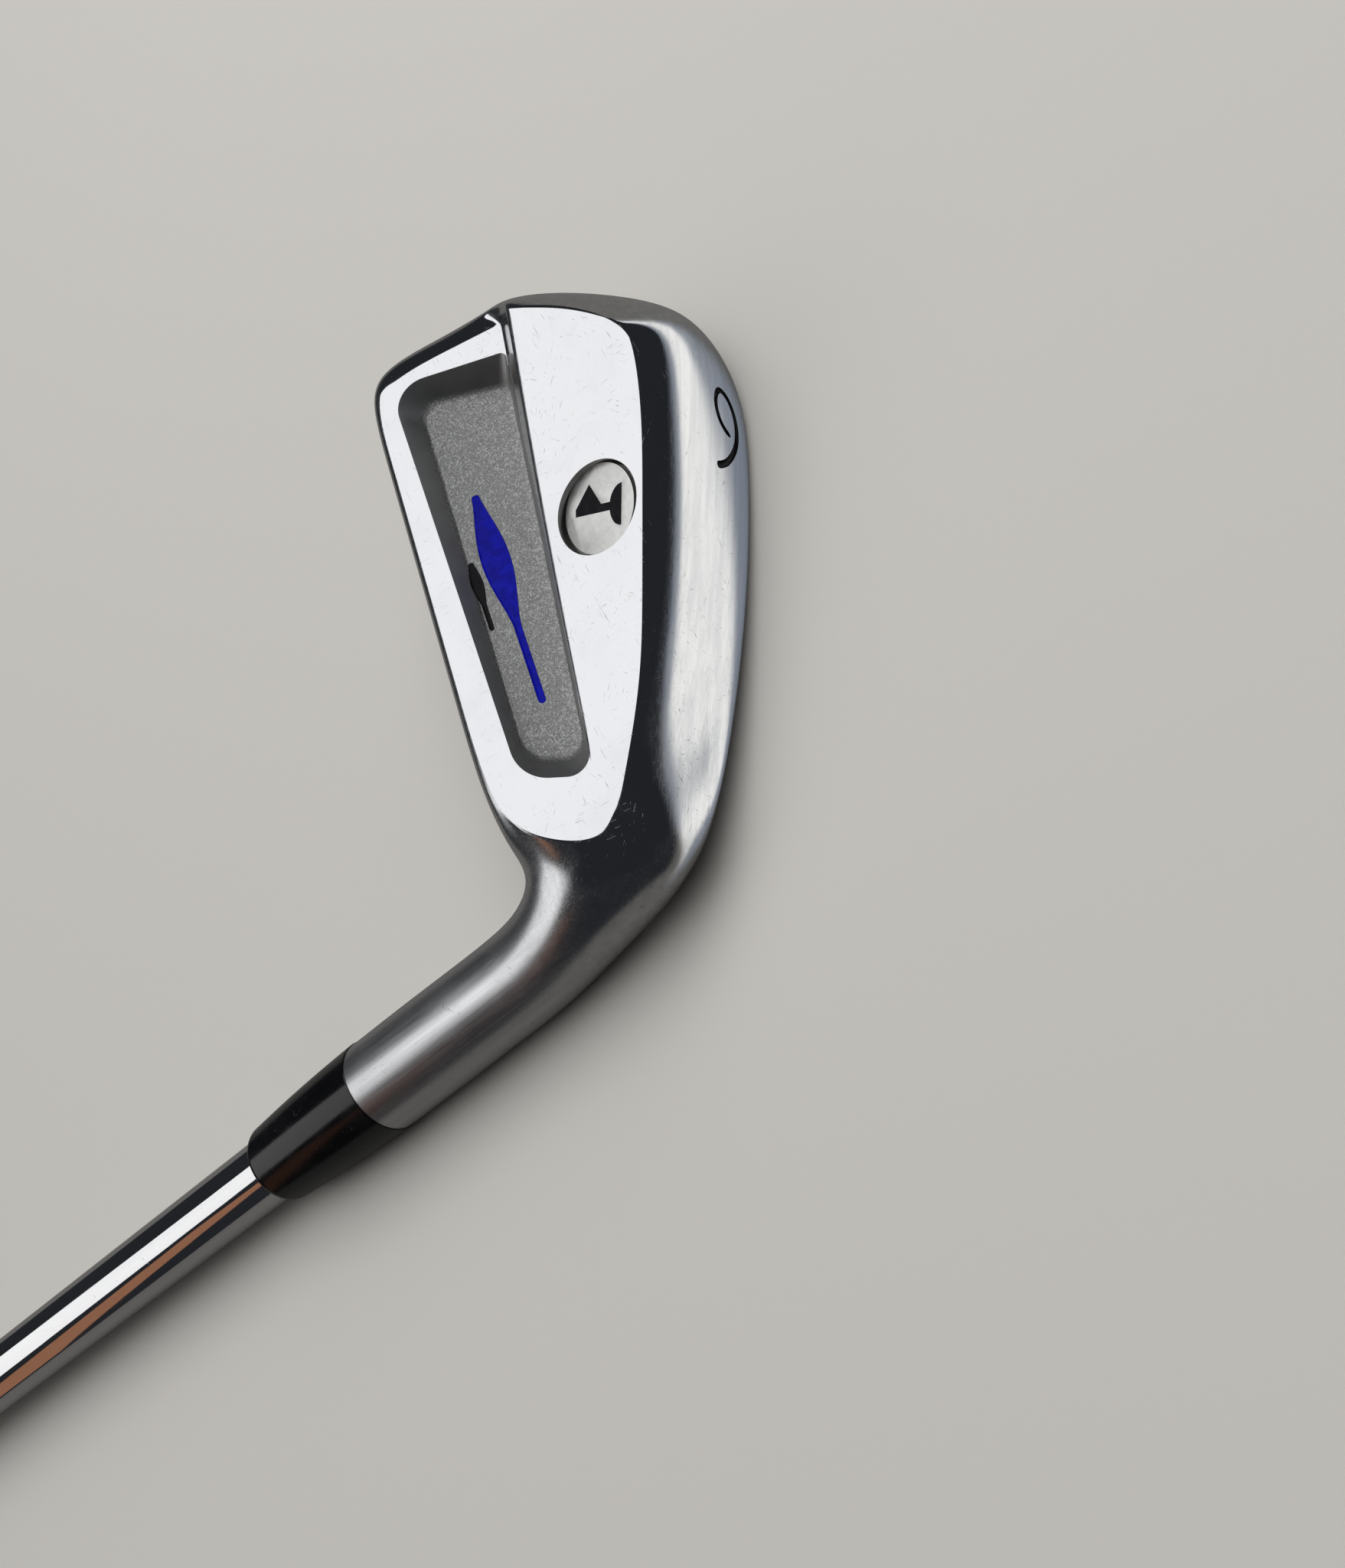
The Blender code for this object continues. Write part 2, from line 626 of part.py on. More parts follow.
def slim_drop(heel_u, heel_v, toe_u, toe_v, widest, tail, shrink):
    """Outline of a slim drop that lies along a line: round at both ends and widest near the toe."""
    along = Vector((toe_u - heel_u, toe_v - heel_v))
    length = along.length
    along.normalize()
    side = Vector((-along.y, along.x))
    stations = (0.0, 0.02, 0.3, 0.55, 0.68, 0.78, 0.86, 0.93, 1.0)
    left = []
    right = []
    for s in stations:
        swell = math.sin(math.pi * min(max((s - 0.4) / 0.6, 0.0), 1.0)) ** 1.5
        half = tail + (widest - tail) * swell
        if s in (0.0, 1.0):
            half = tail * 0.5
        half -= shrink
        place = Vector((heel_u, heel_v)) + along * (shrink + (length - 2.0 * shrink) * s)
        left.append(place + side * half)
        right.append(place - side * half)
    return left + right[::-1]


DROPS = {
    # heel end, toe end, half width at the widest, half width of the tail
    "cavity_stripe": (13.8 * MM, 23.9 * MM, 42.0 * MM, 33.6 * MM, 1.7 * MM, 0.42 * MM),
    "cavity_mark": (23.4 * MM, 30.5 * MM, 32.6 * MM, 33.7 * MM, 0.75 * MM, 0.32 * MM),
}


def drop_solid(name, shrink, low, high, parent, mat=None):
    outline = slim_drop(*DROPS[name], shrink)
    rings = [[Vector((u, v, height)) for u, v in outline] for height in (low, high)]
    points, faces = loft(rings)
    suffix = "" if mat else "_cutter"
    return mesh_object(name + suffix, points, faces, parent, mat)


def make_score_cutter(parent):
    """Square-bottomed score lines across the face, as one cutter of separate bars."""
    points = []
    faces = []
    for i in range(SCORE_COUNT):
        v = SCORE_FIRST_V + SCORE_PITCH * i
        reach = (v + SCORE_TOPLINE_MARGIN - topline_v(0.0)) / TOPLINE_SLOPE
        heel = max(SCORE_HEEL_U, reach)
        if heel > SCORE_TOE_U - SCORE_SHORTEST:
            continue
        bar = []
        for depth, half in ((-OVERCUT, SCORE_WIDTH / 2.0), (SCORE_DEPTH, SCORE_WIDTH / 3.0)):
            corners = ((heel, v - half), (SCORE_TOE_U, v - half), (SCORE_TOE_U, v + half), (heel, v + half))
            bar.append([(a, b, depth) for a, b in corners])
        bar_points, bar_faces = loft(bar)
        faces += [tuple(k + len(points) for k in face) for face in bar_faces]
        points += bar_points
    return mesh_object("score_cutter", points, faces, parent)


def make_head(club, shaft_frame):
    points, faces, creases = head_cage()
    head = mesh_object("head", points, faces, club, material("forged_steel", (0.62, 0.63, 0.65), 0.22, 1.0))
    work = bmesh.new()
    work.from_mesh(head.data)
    work.verts.ensure_lookup_table()
    layer = work.edges.layers.float.new("crease_edge")
    for (a, b), value in creases.items():
        work.edges.get((work.verts[a], work.verts[b]))[layer] = value
    work.to_mesh(head.data)
    work.free()
    head.data.shade_smooth()
    smooth = head.modifiers.new("surface", "SUBSURF")
    smooth.levels = HEAD_SUBDIVISION
    smooth.render_levels = HEAD_SUBDIVISION
    cut(head, make_pocket_cutter(club))
    for name in DROPS:
        low = POCKET_FLOOR - ENAMEL_DEPTH
        cut(head, drop_solid(name, 0.0, low, POCKET_FLOOR + ENAMEL_DEPTH, club))
    seat = badge_frame(club)
    depth = BADGE_THICKNESS + BADGE_GLUE + 2.0 * FILM_GAP
    length = BADGE_LENGTH + 2.0 * BADGE_CLEARANCE
    width = BADGE_WIDTH + 2.0 * BADGE_CLEARANCE
    cut(head, oval("badge_cutter", length, width, -depth, OVERCUT, seat))
    cut(head, make_score_cutter(club))
    bore = [(HOSEL_BORE / 2.0, HOSEL_TOP - BORE_DEPTH), (HOSEL_BORE / 2.0, HOSEL_TOP + OVERCUT)]
    cut(head, turned_solid("bore_cutter", bore, shaft_frame))
    return seat


def make_badge(seat):
    film_low = -BADGE_THICKNESS - BADGE_GLUE - FILM_GAP
    film_high = -BADGE_THICKNESS - FILM_GAP
    glue = material("glue", (0.35, 0.33, 0.28), 0.5, 0.0)
    length = BADGE_LENGTH - BADGE_GLUE_MARGIN
    width = BADGE_WIDTH - BADGE_GLUE_MARGIN
    oval("badge_glue", length, width, film_low, film_high, seat, glue)
    nickel = material("badge_nickel", (0.66, 0.65, 0.62), 0.35, 1.0)
    oval("badge", BADGE_LENGTH, BADGE_WIDTH, -BADGE_THICKNESS, 0.0, seat, nickel)


def make_enamel(club):
    low = POCKET_FLOOR - ENAMEL_DEPTH + ENAMEL_CLEARANCE
    high = POCKET_FLOOR - ENAMEL_BELOW
    blue = material("blue_enamel", (0.01, 0.02, 0.35), 0.2, 0.0)
    black = material("black_enamel", (0.02, 0.02, 0.02), 0.2, 0.0)
    drop_solid("cavity_stripe", ENAMEL_CLEARANCE, low, high, club, blue)
    drop_solid("cavity_mark", ENAMEL_CLEARANCE, low, high, club, black)


def shaft_tip():
    return HOSEL_TOP - BORE_DEPTH + TIP_CLEARANCE


def grip_end():
    """Height of the grip cap's outer face along the shaft axis."""
    return CLUB_LENGTH


def shaft_end():
    return grip_end() - GRIP_END_WALL - BUTT_GAP


def shaft_od(height):
    """Outside diameter of the shaft at a height along its axis."""
    steps = (height - shaft_tip() - FIRST_STEP) / STEP_PITCH
    step = min(max(math.floor(steps) + 1, 0), STEP_COUNT)
    return SHAFT_TIP_OD + (SHAFT_BUTT_OD - SHAFT_TIP_OD) * step / STEP_COUNT


def shaft_outline():
    """Outer profile of the shaft from tip to butt."""
    profile = [(SHAFT_TIP_OD / 2.0, shaft_tip())]
    growth = (SHAFT_BUTT_OD - SHAFT_TIP_OD) / STEP_COUNT / 2.0
    radius = SHAFT_TIP_OD / 2.0
    for step in range(STEP_COUNT):
        height = shaft_tip() + FIRST_STEP + STEP_PITCH * step
        profile.append((radius, height - STEP_RUN))
        radius += growth
        profile.append((radius, height))
    profile.append((radius, shaft_end()))
    return profile


def make_shaft(frame):
    outline = shaft_outline()
    bore = [
        (SHAFT_BUTT_OD / 2.0 - SHAFT_BUTT_WALL, shaft_end()),
        (SHAFT_BUTT_OD / 2.0 - SHAFT_BUTT_WALL, shaft_tip() + FIRST_STEP + STEP_PITCH * STEP_COUNT),
        (SHAFT_TIP_OD / 2.0 - SHAFT_TIP_WALL, shaft_tip() + FIRST_STEP - STEP_PITCH),
        (SHAFT_TIP_OD / 2.0 - SHAFT_TIP_WALL, shaft_tip()),
    ]
    turned("shaft", outline + bore, frame, material("chrome", (0.75, 0.75, 0.76), 0.06, 1.0))
    epoxy_in = SHAFT_TIP_OD / 2.0 + FILM_GAP
    epoxy_out = HOSEL_BORE / 2.0 - FILM_GAP
    low = shaft_tip()
    high = HOSEL_TOP - BUTT_GAP
    sleeve = [(epoxy_out, low), (epoxy_out, high), (epoxy_in, high), (epoxy_in, low)]
    turned("hosel_epoxy", sleeve, frame, material("epoxy", (0.55, 0.5, 0.38), 0.4, 0.0))
    plug = SHAFT_TIP_OD / 2.0 - SHAFT_TIP_WALL - FILM_GAP
    low = shaft_tip() + TIP_WEIGHT_INSET
    weight = [(plug, low), (plug, low + TIP_WEIGHT_LENGTH)]
    turned_solid("tip_weight", weight, frame, material("brass", (0.7, 0.52, 0.22), 0.3, 1.0))


def make_ferrule(frame):
    low = HOSEL_TOP + BUTT_GAP
    high = low + FERRULE_LENGTH
    inside = SHAFT_TIP_OD / 2.0 + FERRULE_FIT
    base = HOSEL_OD / 2.0
    end = inside + FERRULE_END_WALL
    profile = [(inside, low), (base, low)]
    for i in range(1, 5):
        part = i / 5.0
        swell = FERRULE_SWELL * math.sin(math.pi * part)
        profile.append((base + (end - base) * part + swell, low + (FERRULE_LENGTH - FERRULE_ROUNDING) * part))
    for i in range(4):
        angle = math.radians(30.0 * i)
        radius = end - FERRULE_ROUNDING * (1.0 - math.cos(angle))
        profile.append((max(radius, inside + FERRULE_LIP), high - FERRULE_ROUNDING * (1.0 - math.sin(angle))))
    profile.append((inside, high))
    turned("ferrule", profile, frame, material("ferrule_black", (0.012, 0.012, 0.014), 0.18, 0.0))


def make_label(frame):
    high = grip_end() - GRIP_LENGTH - LABEL_BELOW_GRIP
    low = high - LABEL_LENGTH
    inside = shaft_od(high) / 2.0 + FILM_GAP
    outside = inside + LABEL_THICKNESS
    # the label sits on one land of the shaft, between two steps
    steps = round((high - shaft_tip() - FIRST_STEP) / STEP_PITCH)
    low = max(low, shaft_tip() + FIRST_STEP + STEP_PITCH * (steps - 1) + LABEL_OFF_STEP)
    band = [(outside, low), (outside, high), (inside, high), (inside, low)]
    turned("shaft_label", band, frame, material("label", (0.7, 0.7, 0.72), 0.3, 0.0))


def make_grip(frame):
    mouth = grip_end() - GRIP_LENGTH
    inner = SHAFT_BUTT_OD / 2.0 + FILM_GAP
    tape_out = inner + TAPE_THICKNESS
    tape_low = mouth + TAPE_INSET
    tape = [(tape_out, tape_low), (tape_out, shaft_end()), (inner, shaft_end()), (inner, tape_low)]
    turned("grip_tape", tape, frame, material("tape", (0.75, 0.7, 0.55), 0.7, 0.0))
    bore = GRIP_BORE / 2.0
    bead_low = grip_end() - GRIP_BEAD_LENGTH
    insert = CAP_INSERT_OD / 2.0
    inset = grip_end() - CAP_INSERT_DEPTH
    vent = VENT_HOLE / 2.0
    profile = [
        (bore, mouth),
        (GRIP_MOUTH_OD / 2.0 - GRIP_CHAMFER, mouth),
        (GRIP_MOUTH_OD / 2.0, mouth + GRIP_CHAMFER_LENGTH),
        (GRIP_MOUTH_OD / 2.0 + GRIP_SLIM_GROWTH, mouth + GRIP_SLIM_LENGTH),
        (GRIP_BUTT_OD / 2.0 - GRIP_SWELL, grip_end() - GRIP_SWELL_START),
        (GRIP_BUTT_OD / 2.0, bead_low - GRIP_BEAD_NECK),
        (GRIP_BEAD_OD / 2.0, bead_low + GRIP_BEAD_EDGE),
        (GRIP_BEAD_OD / 2.0, grip_end() - GRIP_BEAD_EDGE),
        (GRIP_BEAD_OD / 2.0 - GRIP_BEAD_ROUND, grip_end()),
        (insert, grip_end()),
        (insert, inset),
        (vent, inset),
        (vent, grip_end() - GRIP_END_WALL),
        (bore, grip_end() - GRIP_END_WALL),
    ]
    turned("grip", profile, frame, material("grip_rubber", (0.02, 0.02, 0.02), 0.75, 0.0))
    disc = insert - BUTT_GAP
    low = inset + BUTT_GAP
    cap = [(disc, low), (disc, grip_end()), (vent, grip_end()), (vent, low)]
    turned("grip_cap", cap, frame, material("cap_grey", (0.3, 0.3, 0.31), 0.5, 0.0))


DENSITY = {"head": 7850.0, "shaft": 7850.0, "tip_weight": 8500.0, "grip": 1150.0, "badge": 8500.0}


def rest_rotation(club):
    """Turn that lays the club on the ground with the back of the head up."""
    bpy.context.view_layer.update()
    scene = bpy.context.evaluated_depsgraph_get()
    hull = bmesh.new()
    mass = 0.0
    moment = Vector((0.0, 0.0, 0.0))
    for thing in bpy.data.objects:
        if thing.type != "MESH" or thing.hide_render:
            continue
        work = bmesh.new()
        work.from_object(thing, scene)
        work.transform(thing.matrix_world)
        bmesh.ops.triangulate(work, faces=work.faces)
        if thing.name in DENSITY:
            for face in work.faces:
                a, b, c = (vert.co for vert in face.verts)
                share = a.dot(b.cross(c)) / 6.0 * DENSITY[thing.name]
                mass += share
                moment += (a + b + c) * (share / 4.0)
        for vert in work.verts:
            hull.verts.new(vert.co)
        work.free()
    middle = moment / mass
    bmesh.ops.convex_hull(hull, input=hull.verts, use_existing_faces=False)
    hull.normal_update()
    best = None
    for face in hull.faces:
        down = face.normal
        if -down.z < 0.5:
            continue
        drop = middle - down * (middle - face.verts[0].co).dot(down)
        corners = [vert.co for vert in face.verts]
        inside = True
        for a, b in zip(corners, corners[1:] + corners[:1]):
            if (b - a).cross(drop - a).dot(down) < 0.0:
                inside = False
        if inside and (best is None or face.calc_area() > best[0]):
            best = (face.calc_area(), down.copy())
    hull.free()
    down = best[1]
    along = shaft_direction()
    along = (along - down * along.dot(down)).normalized()
    up = -down
    return Matrix((along, up.cross(along), up))


def lay_down(club):
    """Turn the club to its rest and put the middle of its footprint at the origin."""
    club.matrix_local = rest_rotation(club).to_4x4()
    bpy.context.view_layer.update()
    scene = bpy.context.evaluated_depsgraph_get()
    low = Vector((1e9, 1e9, 1e9))
    high = -low
    for thing in bpy.data.objects:
        if thing.type != "MESH" or thing.hide_render:
            continue
        ready = thing.evaluated_get(scene)
        for vert in ready.to_mesh().vertices:
            place = thing.matrix_world @ vert.co
            low = Vector(map(min, low, place))
            high = Vector(map(max, high, place))
        ready.to_mesh_clear()
    centre = (low + high) / 2.0
    club.location = (-centre.x, -centre.y, -low.z)
    bpy.context.view_layer.update()


clear_scene()
club = empty("club", None, Matrix())
turn = Vector((0.0, 0.0, 1.0)).rotation_difference(shaft_direction()).to_matrix().to_4x4()
shaft_frame = empty("shaft_axis", club, Matrix.Translation(shaft_ground_point()) @ turn)
badge_seat = make_head(club, shaft_frame)
make_badge(badge_seat)
make_enamel(club)
make_shaft(shaft_frame)
make_ferrule(shaft_frame)
make_label(shaft_frame)
make_grip(shaft_frame)
lay_down(club)
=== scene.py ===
"""Iron golf club: forged cavity-back head, black ferrule, stepped chrome shaft and rubber grip."""
import json
import math

import bmesh
import bpy
from mathutils import Matrix, Vector


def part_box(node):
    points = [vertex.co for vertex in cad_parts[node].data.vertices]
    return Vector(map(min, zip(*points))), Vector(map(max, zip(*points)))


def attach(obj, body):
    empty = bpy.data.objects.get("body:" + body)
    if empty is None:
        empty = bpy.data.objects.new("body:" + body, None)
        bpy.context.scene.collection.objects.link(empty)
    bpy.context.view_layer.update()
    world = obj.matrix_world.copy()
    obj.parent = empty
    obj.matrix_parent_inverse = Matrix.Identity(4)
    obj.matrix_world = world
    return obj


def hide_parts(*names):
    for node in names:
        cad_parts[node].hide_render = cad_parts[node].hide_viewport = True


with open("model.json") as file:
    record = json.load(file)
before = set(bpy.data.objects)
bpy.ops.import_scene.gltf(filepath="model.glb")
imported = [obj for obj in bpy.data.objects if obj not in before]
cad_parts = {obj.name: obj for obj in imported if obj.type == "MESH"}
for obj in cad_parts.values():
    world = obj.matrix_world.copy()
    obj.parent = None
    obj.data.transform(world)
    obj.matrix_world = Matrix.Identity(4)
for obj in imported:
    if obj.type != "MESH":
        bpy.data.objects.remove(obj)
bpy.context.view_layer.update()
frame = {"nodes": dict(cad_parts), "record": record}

# ---------------------------------------------------------------------------------------------
# The head: one forging of soft carbon steel, milled, plated and polished by hand.
# Its back has two mirror flats, with a step between them that runs out at the heel, and the
# face, the sole and the hosel are brushed. It is laid out in its own frame: X along the score
# lines from heel to toe, Y up the face and Z out of the back, with the face at Z = 0.
MM = 0.001
LIE = math.radians(62.0)
LOFT = math.radians(29.0)
FACE_POINT = Vector((30.0, 16.1, 0.0)) * MM     # of the head's frame, at the record's face mount
HOSEL_TOP = 63.0 * MM                           # along the shaft axis, from the ground
HOSEL_OD = 13.3 * MM
NECK_OD = 12.9 * MM
BORE_OD = 10.1 * MM
BORE_DEPTH = 32.0 * MM
POCKET_FLOOR = 3.6 * MM

mounts = {mount["name"]: mount for mount in frame["record"]["mounts"]}
SHAFT_WAY = Vector((-math.cos(LIE), math.sin(LIE) * math.cos(LOFT),
                    -math.sin(LIE) * math.sin(LOFT)))

# where the shaft axis meets the ground, in millimetres behind and below the head's origin
BEHIND, BELOW = 3.65, 2.0
GROUND = Vector((0.0, BEHIND * math.sin(LOFT) - BELOW * math.cos(LOFT),
                 BEHIND * math.cos(LOFT) + BELOW * math.sin(LOFT))) * MM


def head_place():
    """Matrix from the head's frame to the model's, from the face's and the shaft's directions."""
    back = -Vector(mounts["striking_face"]["axis"]).normalized()
    shaft = Vector(mounts["grip_butt"]["axis"]).normalized()
    flat = (shaft - back * shaft.dot(back)).normalized()
    side = back.cross(flat)
    along, up = SHAFT_WAY.x, SHAFT_WAY.y
    size = math.hypot(along, up)
    toe = (flat * along - side * up) / size
    turn = Matrix((toe, back.cross(toe), back)).transposed()
    start = Vector(mounts["striking_face"]["pos_m"]) - turn @ FACE_POINT
    return Matrix.Translation(start) @ turn.to_4x4()


HEAD = head_place()
TO_SHAFT = Vector((0, 0, 1)).rotation_difference(SHAFT_WAY).to_matrix().to_4x4()
AXIS = HEAD @ Matrix.Translation(GROUND) @ TO_SHAFT     # Z runs up the shaft

TOPLINE_POINT = (53.0 * MM, 46.0 * MM)
TOPLINE_RISE = 0.322
SOLE_LOWEST = (42.0 * MM, -1.3 * MM)
SOLE_CURVE = 410.0 * MM         # twice the radius of its camber
FLAT_DEPTH = 5.8 * MM           # from the face to the upper flat, at the topline
FLAT_TAPER = 0.1
MUSCLE_HEEL = (2.0 * MM, 16.4 * MM)
MUSCLE_LENGTH = 62.0 * MM
TOEWARDS, SOLEWARDS = 0.125, 0.33       # how the muscle's flat rises from the upper flat
CREST_RISE = 0.2
CREST_BOW = 2.0 * MM
STEP_LEAN = 0.35
STEP_LEAST = 0.1 * MM


def topline(u):
    return TOPLINE_POINT[1] + TOPLINE_RISE * (u - TOPLINE_POINT[0])


def sole(u):
    return SOLE_LOWEST[1] + (u - SOLE_LOWEST[0]) ** 2 / SOLE_CURVE


def on_flat(u, v):
    """Point of the upper flat, which thickens from the topline down."""
    return Vector((u, v, FLAT_DEPTH + FLAT_TAPER * (topline(u) - v)))


def on_muscle(u, v):
    """Point of the muscle's flat, which parts from the upper flat at the heel."""
    heel_u, heel_v = MUSCLE_HEEL
    return on_flat(u, v) + Vector((0, 0, TOEWARDS * (u - heel_u) - SOLEWARDS * (v - heel_v)))


def crest(u):
    """Upper edge of the muscle, a slightly bowed line."""
    part = (u - MUSCLE_HEEL[0]) / MUSCLE_LENGTH
    return MUSCLE_HEEL[1] + CREST_RISE * (u - MUSCLE_HEEL[0]) + CREST_BOW * part * (1.0 - part)


def crest_foot(u):
    """Foot of the step, on the upper flat."""
    v = crest(u)
    return v + STEP_LEAN * max(on_muscle(u, v).z - on_flat(u, v).z, STEP_LEAST)


COLUMNS = ("b0", "b1", "b2", "b3", "b4", "b5", "s1", "s2", "s3",
           "f5", "f4", "f3", "f2", "f1", "f0", "t3", "t2", "t1")


def blade_ring(u_top, u_low, edge, lift=0.0):
    """Control points of one section of the blade: back, sole, face and topline."""
    top = topline(u_top)
    low = sole(u_low) + lift

    def u_at(v):
        return u_low + (u_top - u_low) * (v - low) / (top - low)

    def settle(line):
        u = (u_top + u_low) / 2.0
        for _ in range(3):
            u = u_at(line(u))
        return u

    foot_u, crest_u = settle(crest_foot), settle(crest)
    foot, ridge = crest_foot(foot_u), crest(crest_u)
    mid_flat, mid_muscle = (top + foot) / 2.0, (ridge + edge) / 2.0
    shoulder = on_muscle(u_low, edge).z - 1.5 * MM
    ring = {
        "b0": on_flat(u_top, top), "b1": on_flat(u_at(mid_flat), mid_flat),
        "b2": on_flat(foot_u, foot), "b3": on_muscle(crest_u, ridge),
        "b4": on_muscle(u_at(mid_muscle), mid_muscle), "b5": on_muscle(u_at(edge), edge),
        "s1": Vector((u_low, low + 7.4 * MM, shoulder)),
        "s2": Vector((u_low, low + 3.8 * MM, 0.55 * shoulder)),
        "s3": Vector((u_low, low - 1.2 * MM, 1.4 * MM)),
        "f5": Vector((u_low, low + 1.6 * MM, 0.0)), "f0": Vector((u_top, top, 0.0)),
        "t3": Vector((u_top, top + 1.1 * MM, 0.9 * MM)),
        "t2": Vector((u_top, top + 1.3 * MM, 3.5 * MM)),
        "t1": Vector((u_top, top + 0.8 * MM, 5.5 * MM)),
    }
    for i in range(1, 5):
        ring["f%d" % i] = ring["f0"].lerp(ring["f5"], i / 5.0)
    return [ring[name] for name in COLUMNS]


def round_ring(centre, across, back, half, half_back, half_front):
    ring = []
    for i in range(len(COLUMNS)):
        angle = math.radians(40.0 + 20.0 * i)
        depth = half_back if math.sin(angle) > 0.0 else half_front
        ring.append(centre + across * (half * math.cos(angle)) + back * (depth * math.sin(angle)))
    return ring


def hosel_ring(distance, diameter):
    across = Vector((SHAFT_WAY.y, -SHAFT_WAY.x, 0.0)).normalized()
    back = SHAFT_WAY.cross(across)
    back = -back if back.z < 0.0 else back
    half = diameter / 2.0
    return round_ring(GROUND + SHAFT_WAY * distance, across, back, half, half, half)


def mm(x, y, z):
    return Vector((x, y, z)) * MM


def neck_ring(inner, outer, turn, half_back, half_front):
    """Section of the neck between its crotch side and its heel side."""
    across = (inner - outer).normalized()
    upright = (Vector((0, 0, 1)) - SHAFT_WAY * SHAFT_WAY.z).normalized()
    back = Vector((0, 0, 1)).lerp(upright, turn)
    back = (back - across * back.dot(across)).normalized()
    half = (inner - outer).length / 2.0
    return round_ring((inner + outer) / 2.0, across, back, half, half_back * MM, half_front * MM)


def heel_ring():
    """Heel end of the flats, where the blade turns into the neck."""
    ring = {
        "b0": on_flat(-1.3 * MM, 27.4 * MM), "b1": on_flat(-3.3 * MM, 24.2 * MM),
        "b2": on_flat(-4.0 * MM, 20.6 * MM), "b3": on_flat(-4.0 * MM, 18.2 * MM),
        "b4": on_flat(-3.4 * MM, 16.2 * MM), "b5": on_flat(-1.8 * MM, 14.6 * MM),
        "s1": mm(-3.2, 9.8, 7.0), "s2": mm(-3.8, 5.8, 4.8), "s3": mm(-3.8, 3.6, 0.0),
        "f5": mm(-3.8, 7.0, -0.9), "f0": mm(-4.6, 26.2, -0.5),
        "t3": mm(-4.3, 27.5, 0.3), "t2": mm(-3.4, 28.0, 2.6), "t1": mm(-2.2, 28.1, 5.0),
    }
    for i in range(1, 5):
        ring["f%d" % i] = ring["f0"].lerp(ring["f5"], i / 5.0)
    return [ring[name] for name in COLUMNS]


def toe_ring():
    """Toe end of the flats."""
    ring = {
        "b0": on_flat(57.2 * MM, 45.3 * MM), "b1": on_flat(61.2 * MM, 37.2 * MM),
        "b2": on_flat(64.1 * MM, crest_foot(64.1 * MM)),
        "b3": on_muscle(63.7 * MM, crest(63.7 * MM)),
        "b4": on_muscle(61.9 * MM, 21.3 * MM), "b5": on_muscle(58.1 * MM, 14.9 * MM),
        "s1": mm(61.0, 9.0, 13.4), "s2": mm(66.6, 5.6, 7.6), "s3": mm(68.0, 4.4, 1.6),
        "f5": mm(64.5, 9.4, 0.0), "f4": mm(67.6, 20.0, 0.0), "f3": mm(67.4, 28.8, 0.0),
        "f2": mm(66.8, 31.8, 0.0), "f1": mm(62.8, 38.0, 0.0), "f0": mm(58.2, 45.6, 0.0),
        "t3": mm(60.2, 48.4, 0.9), "t2": mm(60.4, 48.7, 3.4), "t1": mm(59.2, 47.4, 5.4),
    }
    return [ring[name] for name in COLUMNS]


# three lines of control points that carry the rim round the toe
TOE_RIM = (
    (mm(63.4, 38.4, 6.0), mm(66.7, 32.4, 6.9), mm(66.6, 29.6, 10.2), mm(65.6, 20.6, 11.6)),
    (mm(65.4, 39.5, 3.8), mm(68.8, 32.9, 4.4), mm(69.3, 29.4, 6.4), mm(69.6, 20.4, 7.2)),
    (mm(64.6, 39.0, 0.9), mm(68.1, 32.4, 0.9), mm(69.6, 29.4, 1.2), mm(70.1, 20.0, 1.2)),
)
HEEL_RING = 7

# how hard each edge of the forging is, from 0 for blended to 1 for a knife edge
FLAT_EDGE = 0.72
STEP_EDGE = 0.9
STEP_END_EDGE = 0.6
TOPLINE_EDGE = 0.5
FACE_EDGE = 0.45
LEADING_EDGE = 0.3


def bridge(rings, count):
    """Faces between rings of one count of points, each ring joined to the next."""
    faces = []
    for ring in range(rings - 1):
        for i in range(count):
            a, b, j = ring * count, (ring + 1) * count, (i + 1) % count
            faces.append((a + i, a + j, b + j, b + i))
    return faces


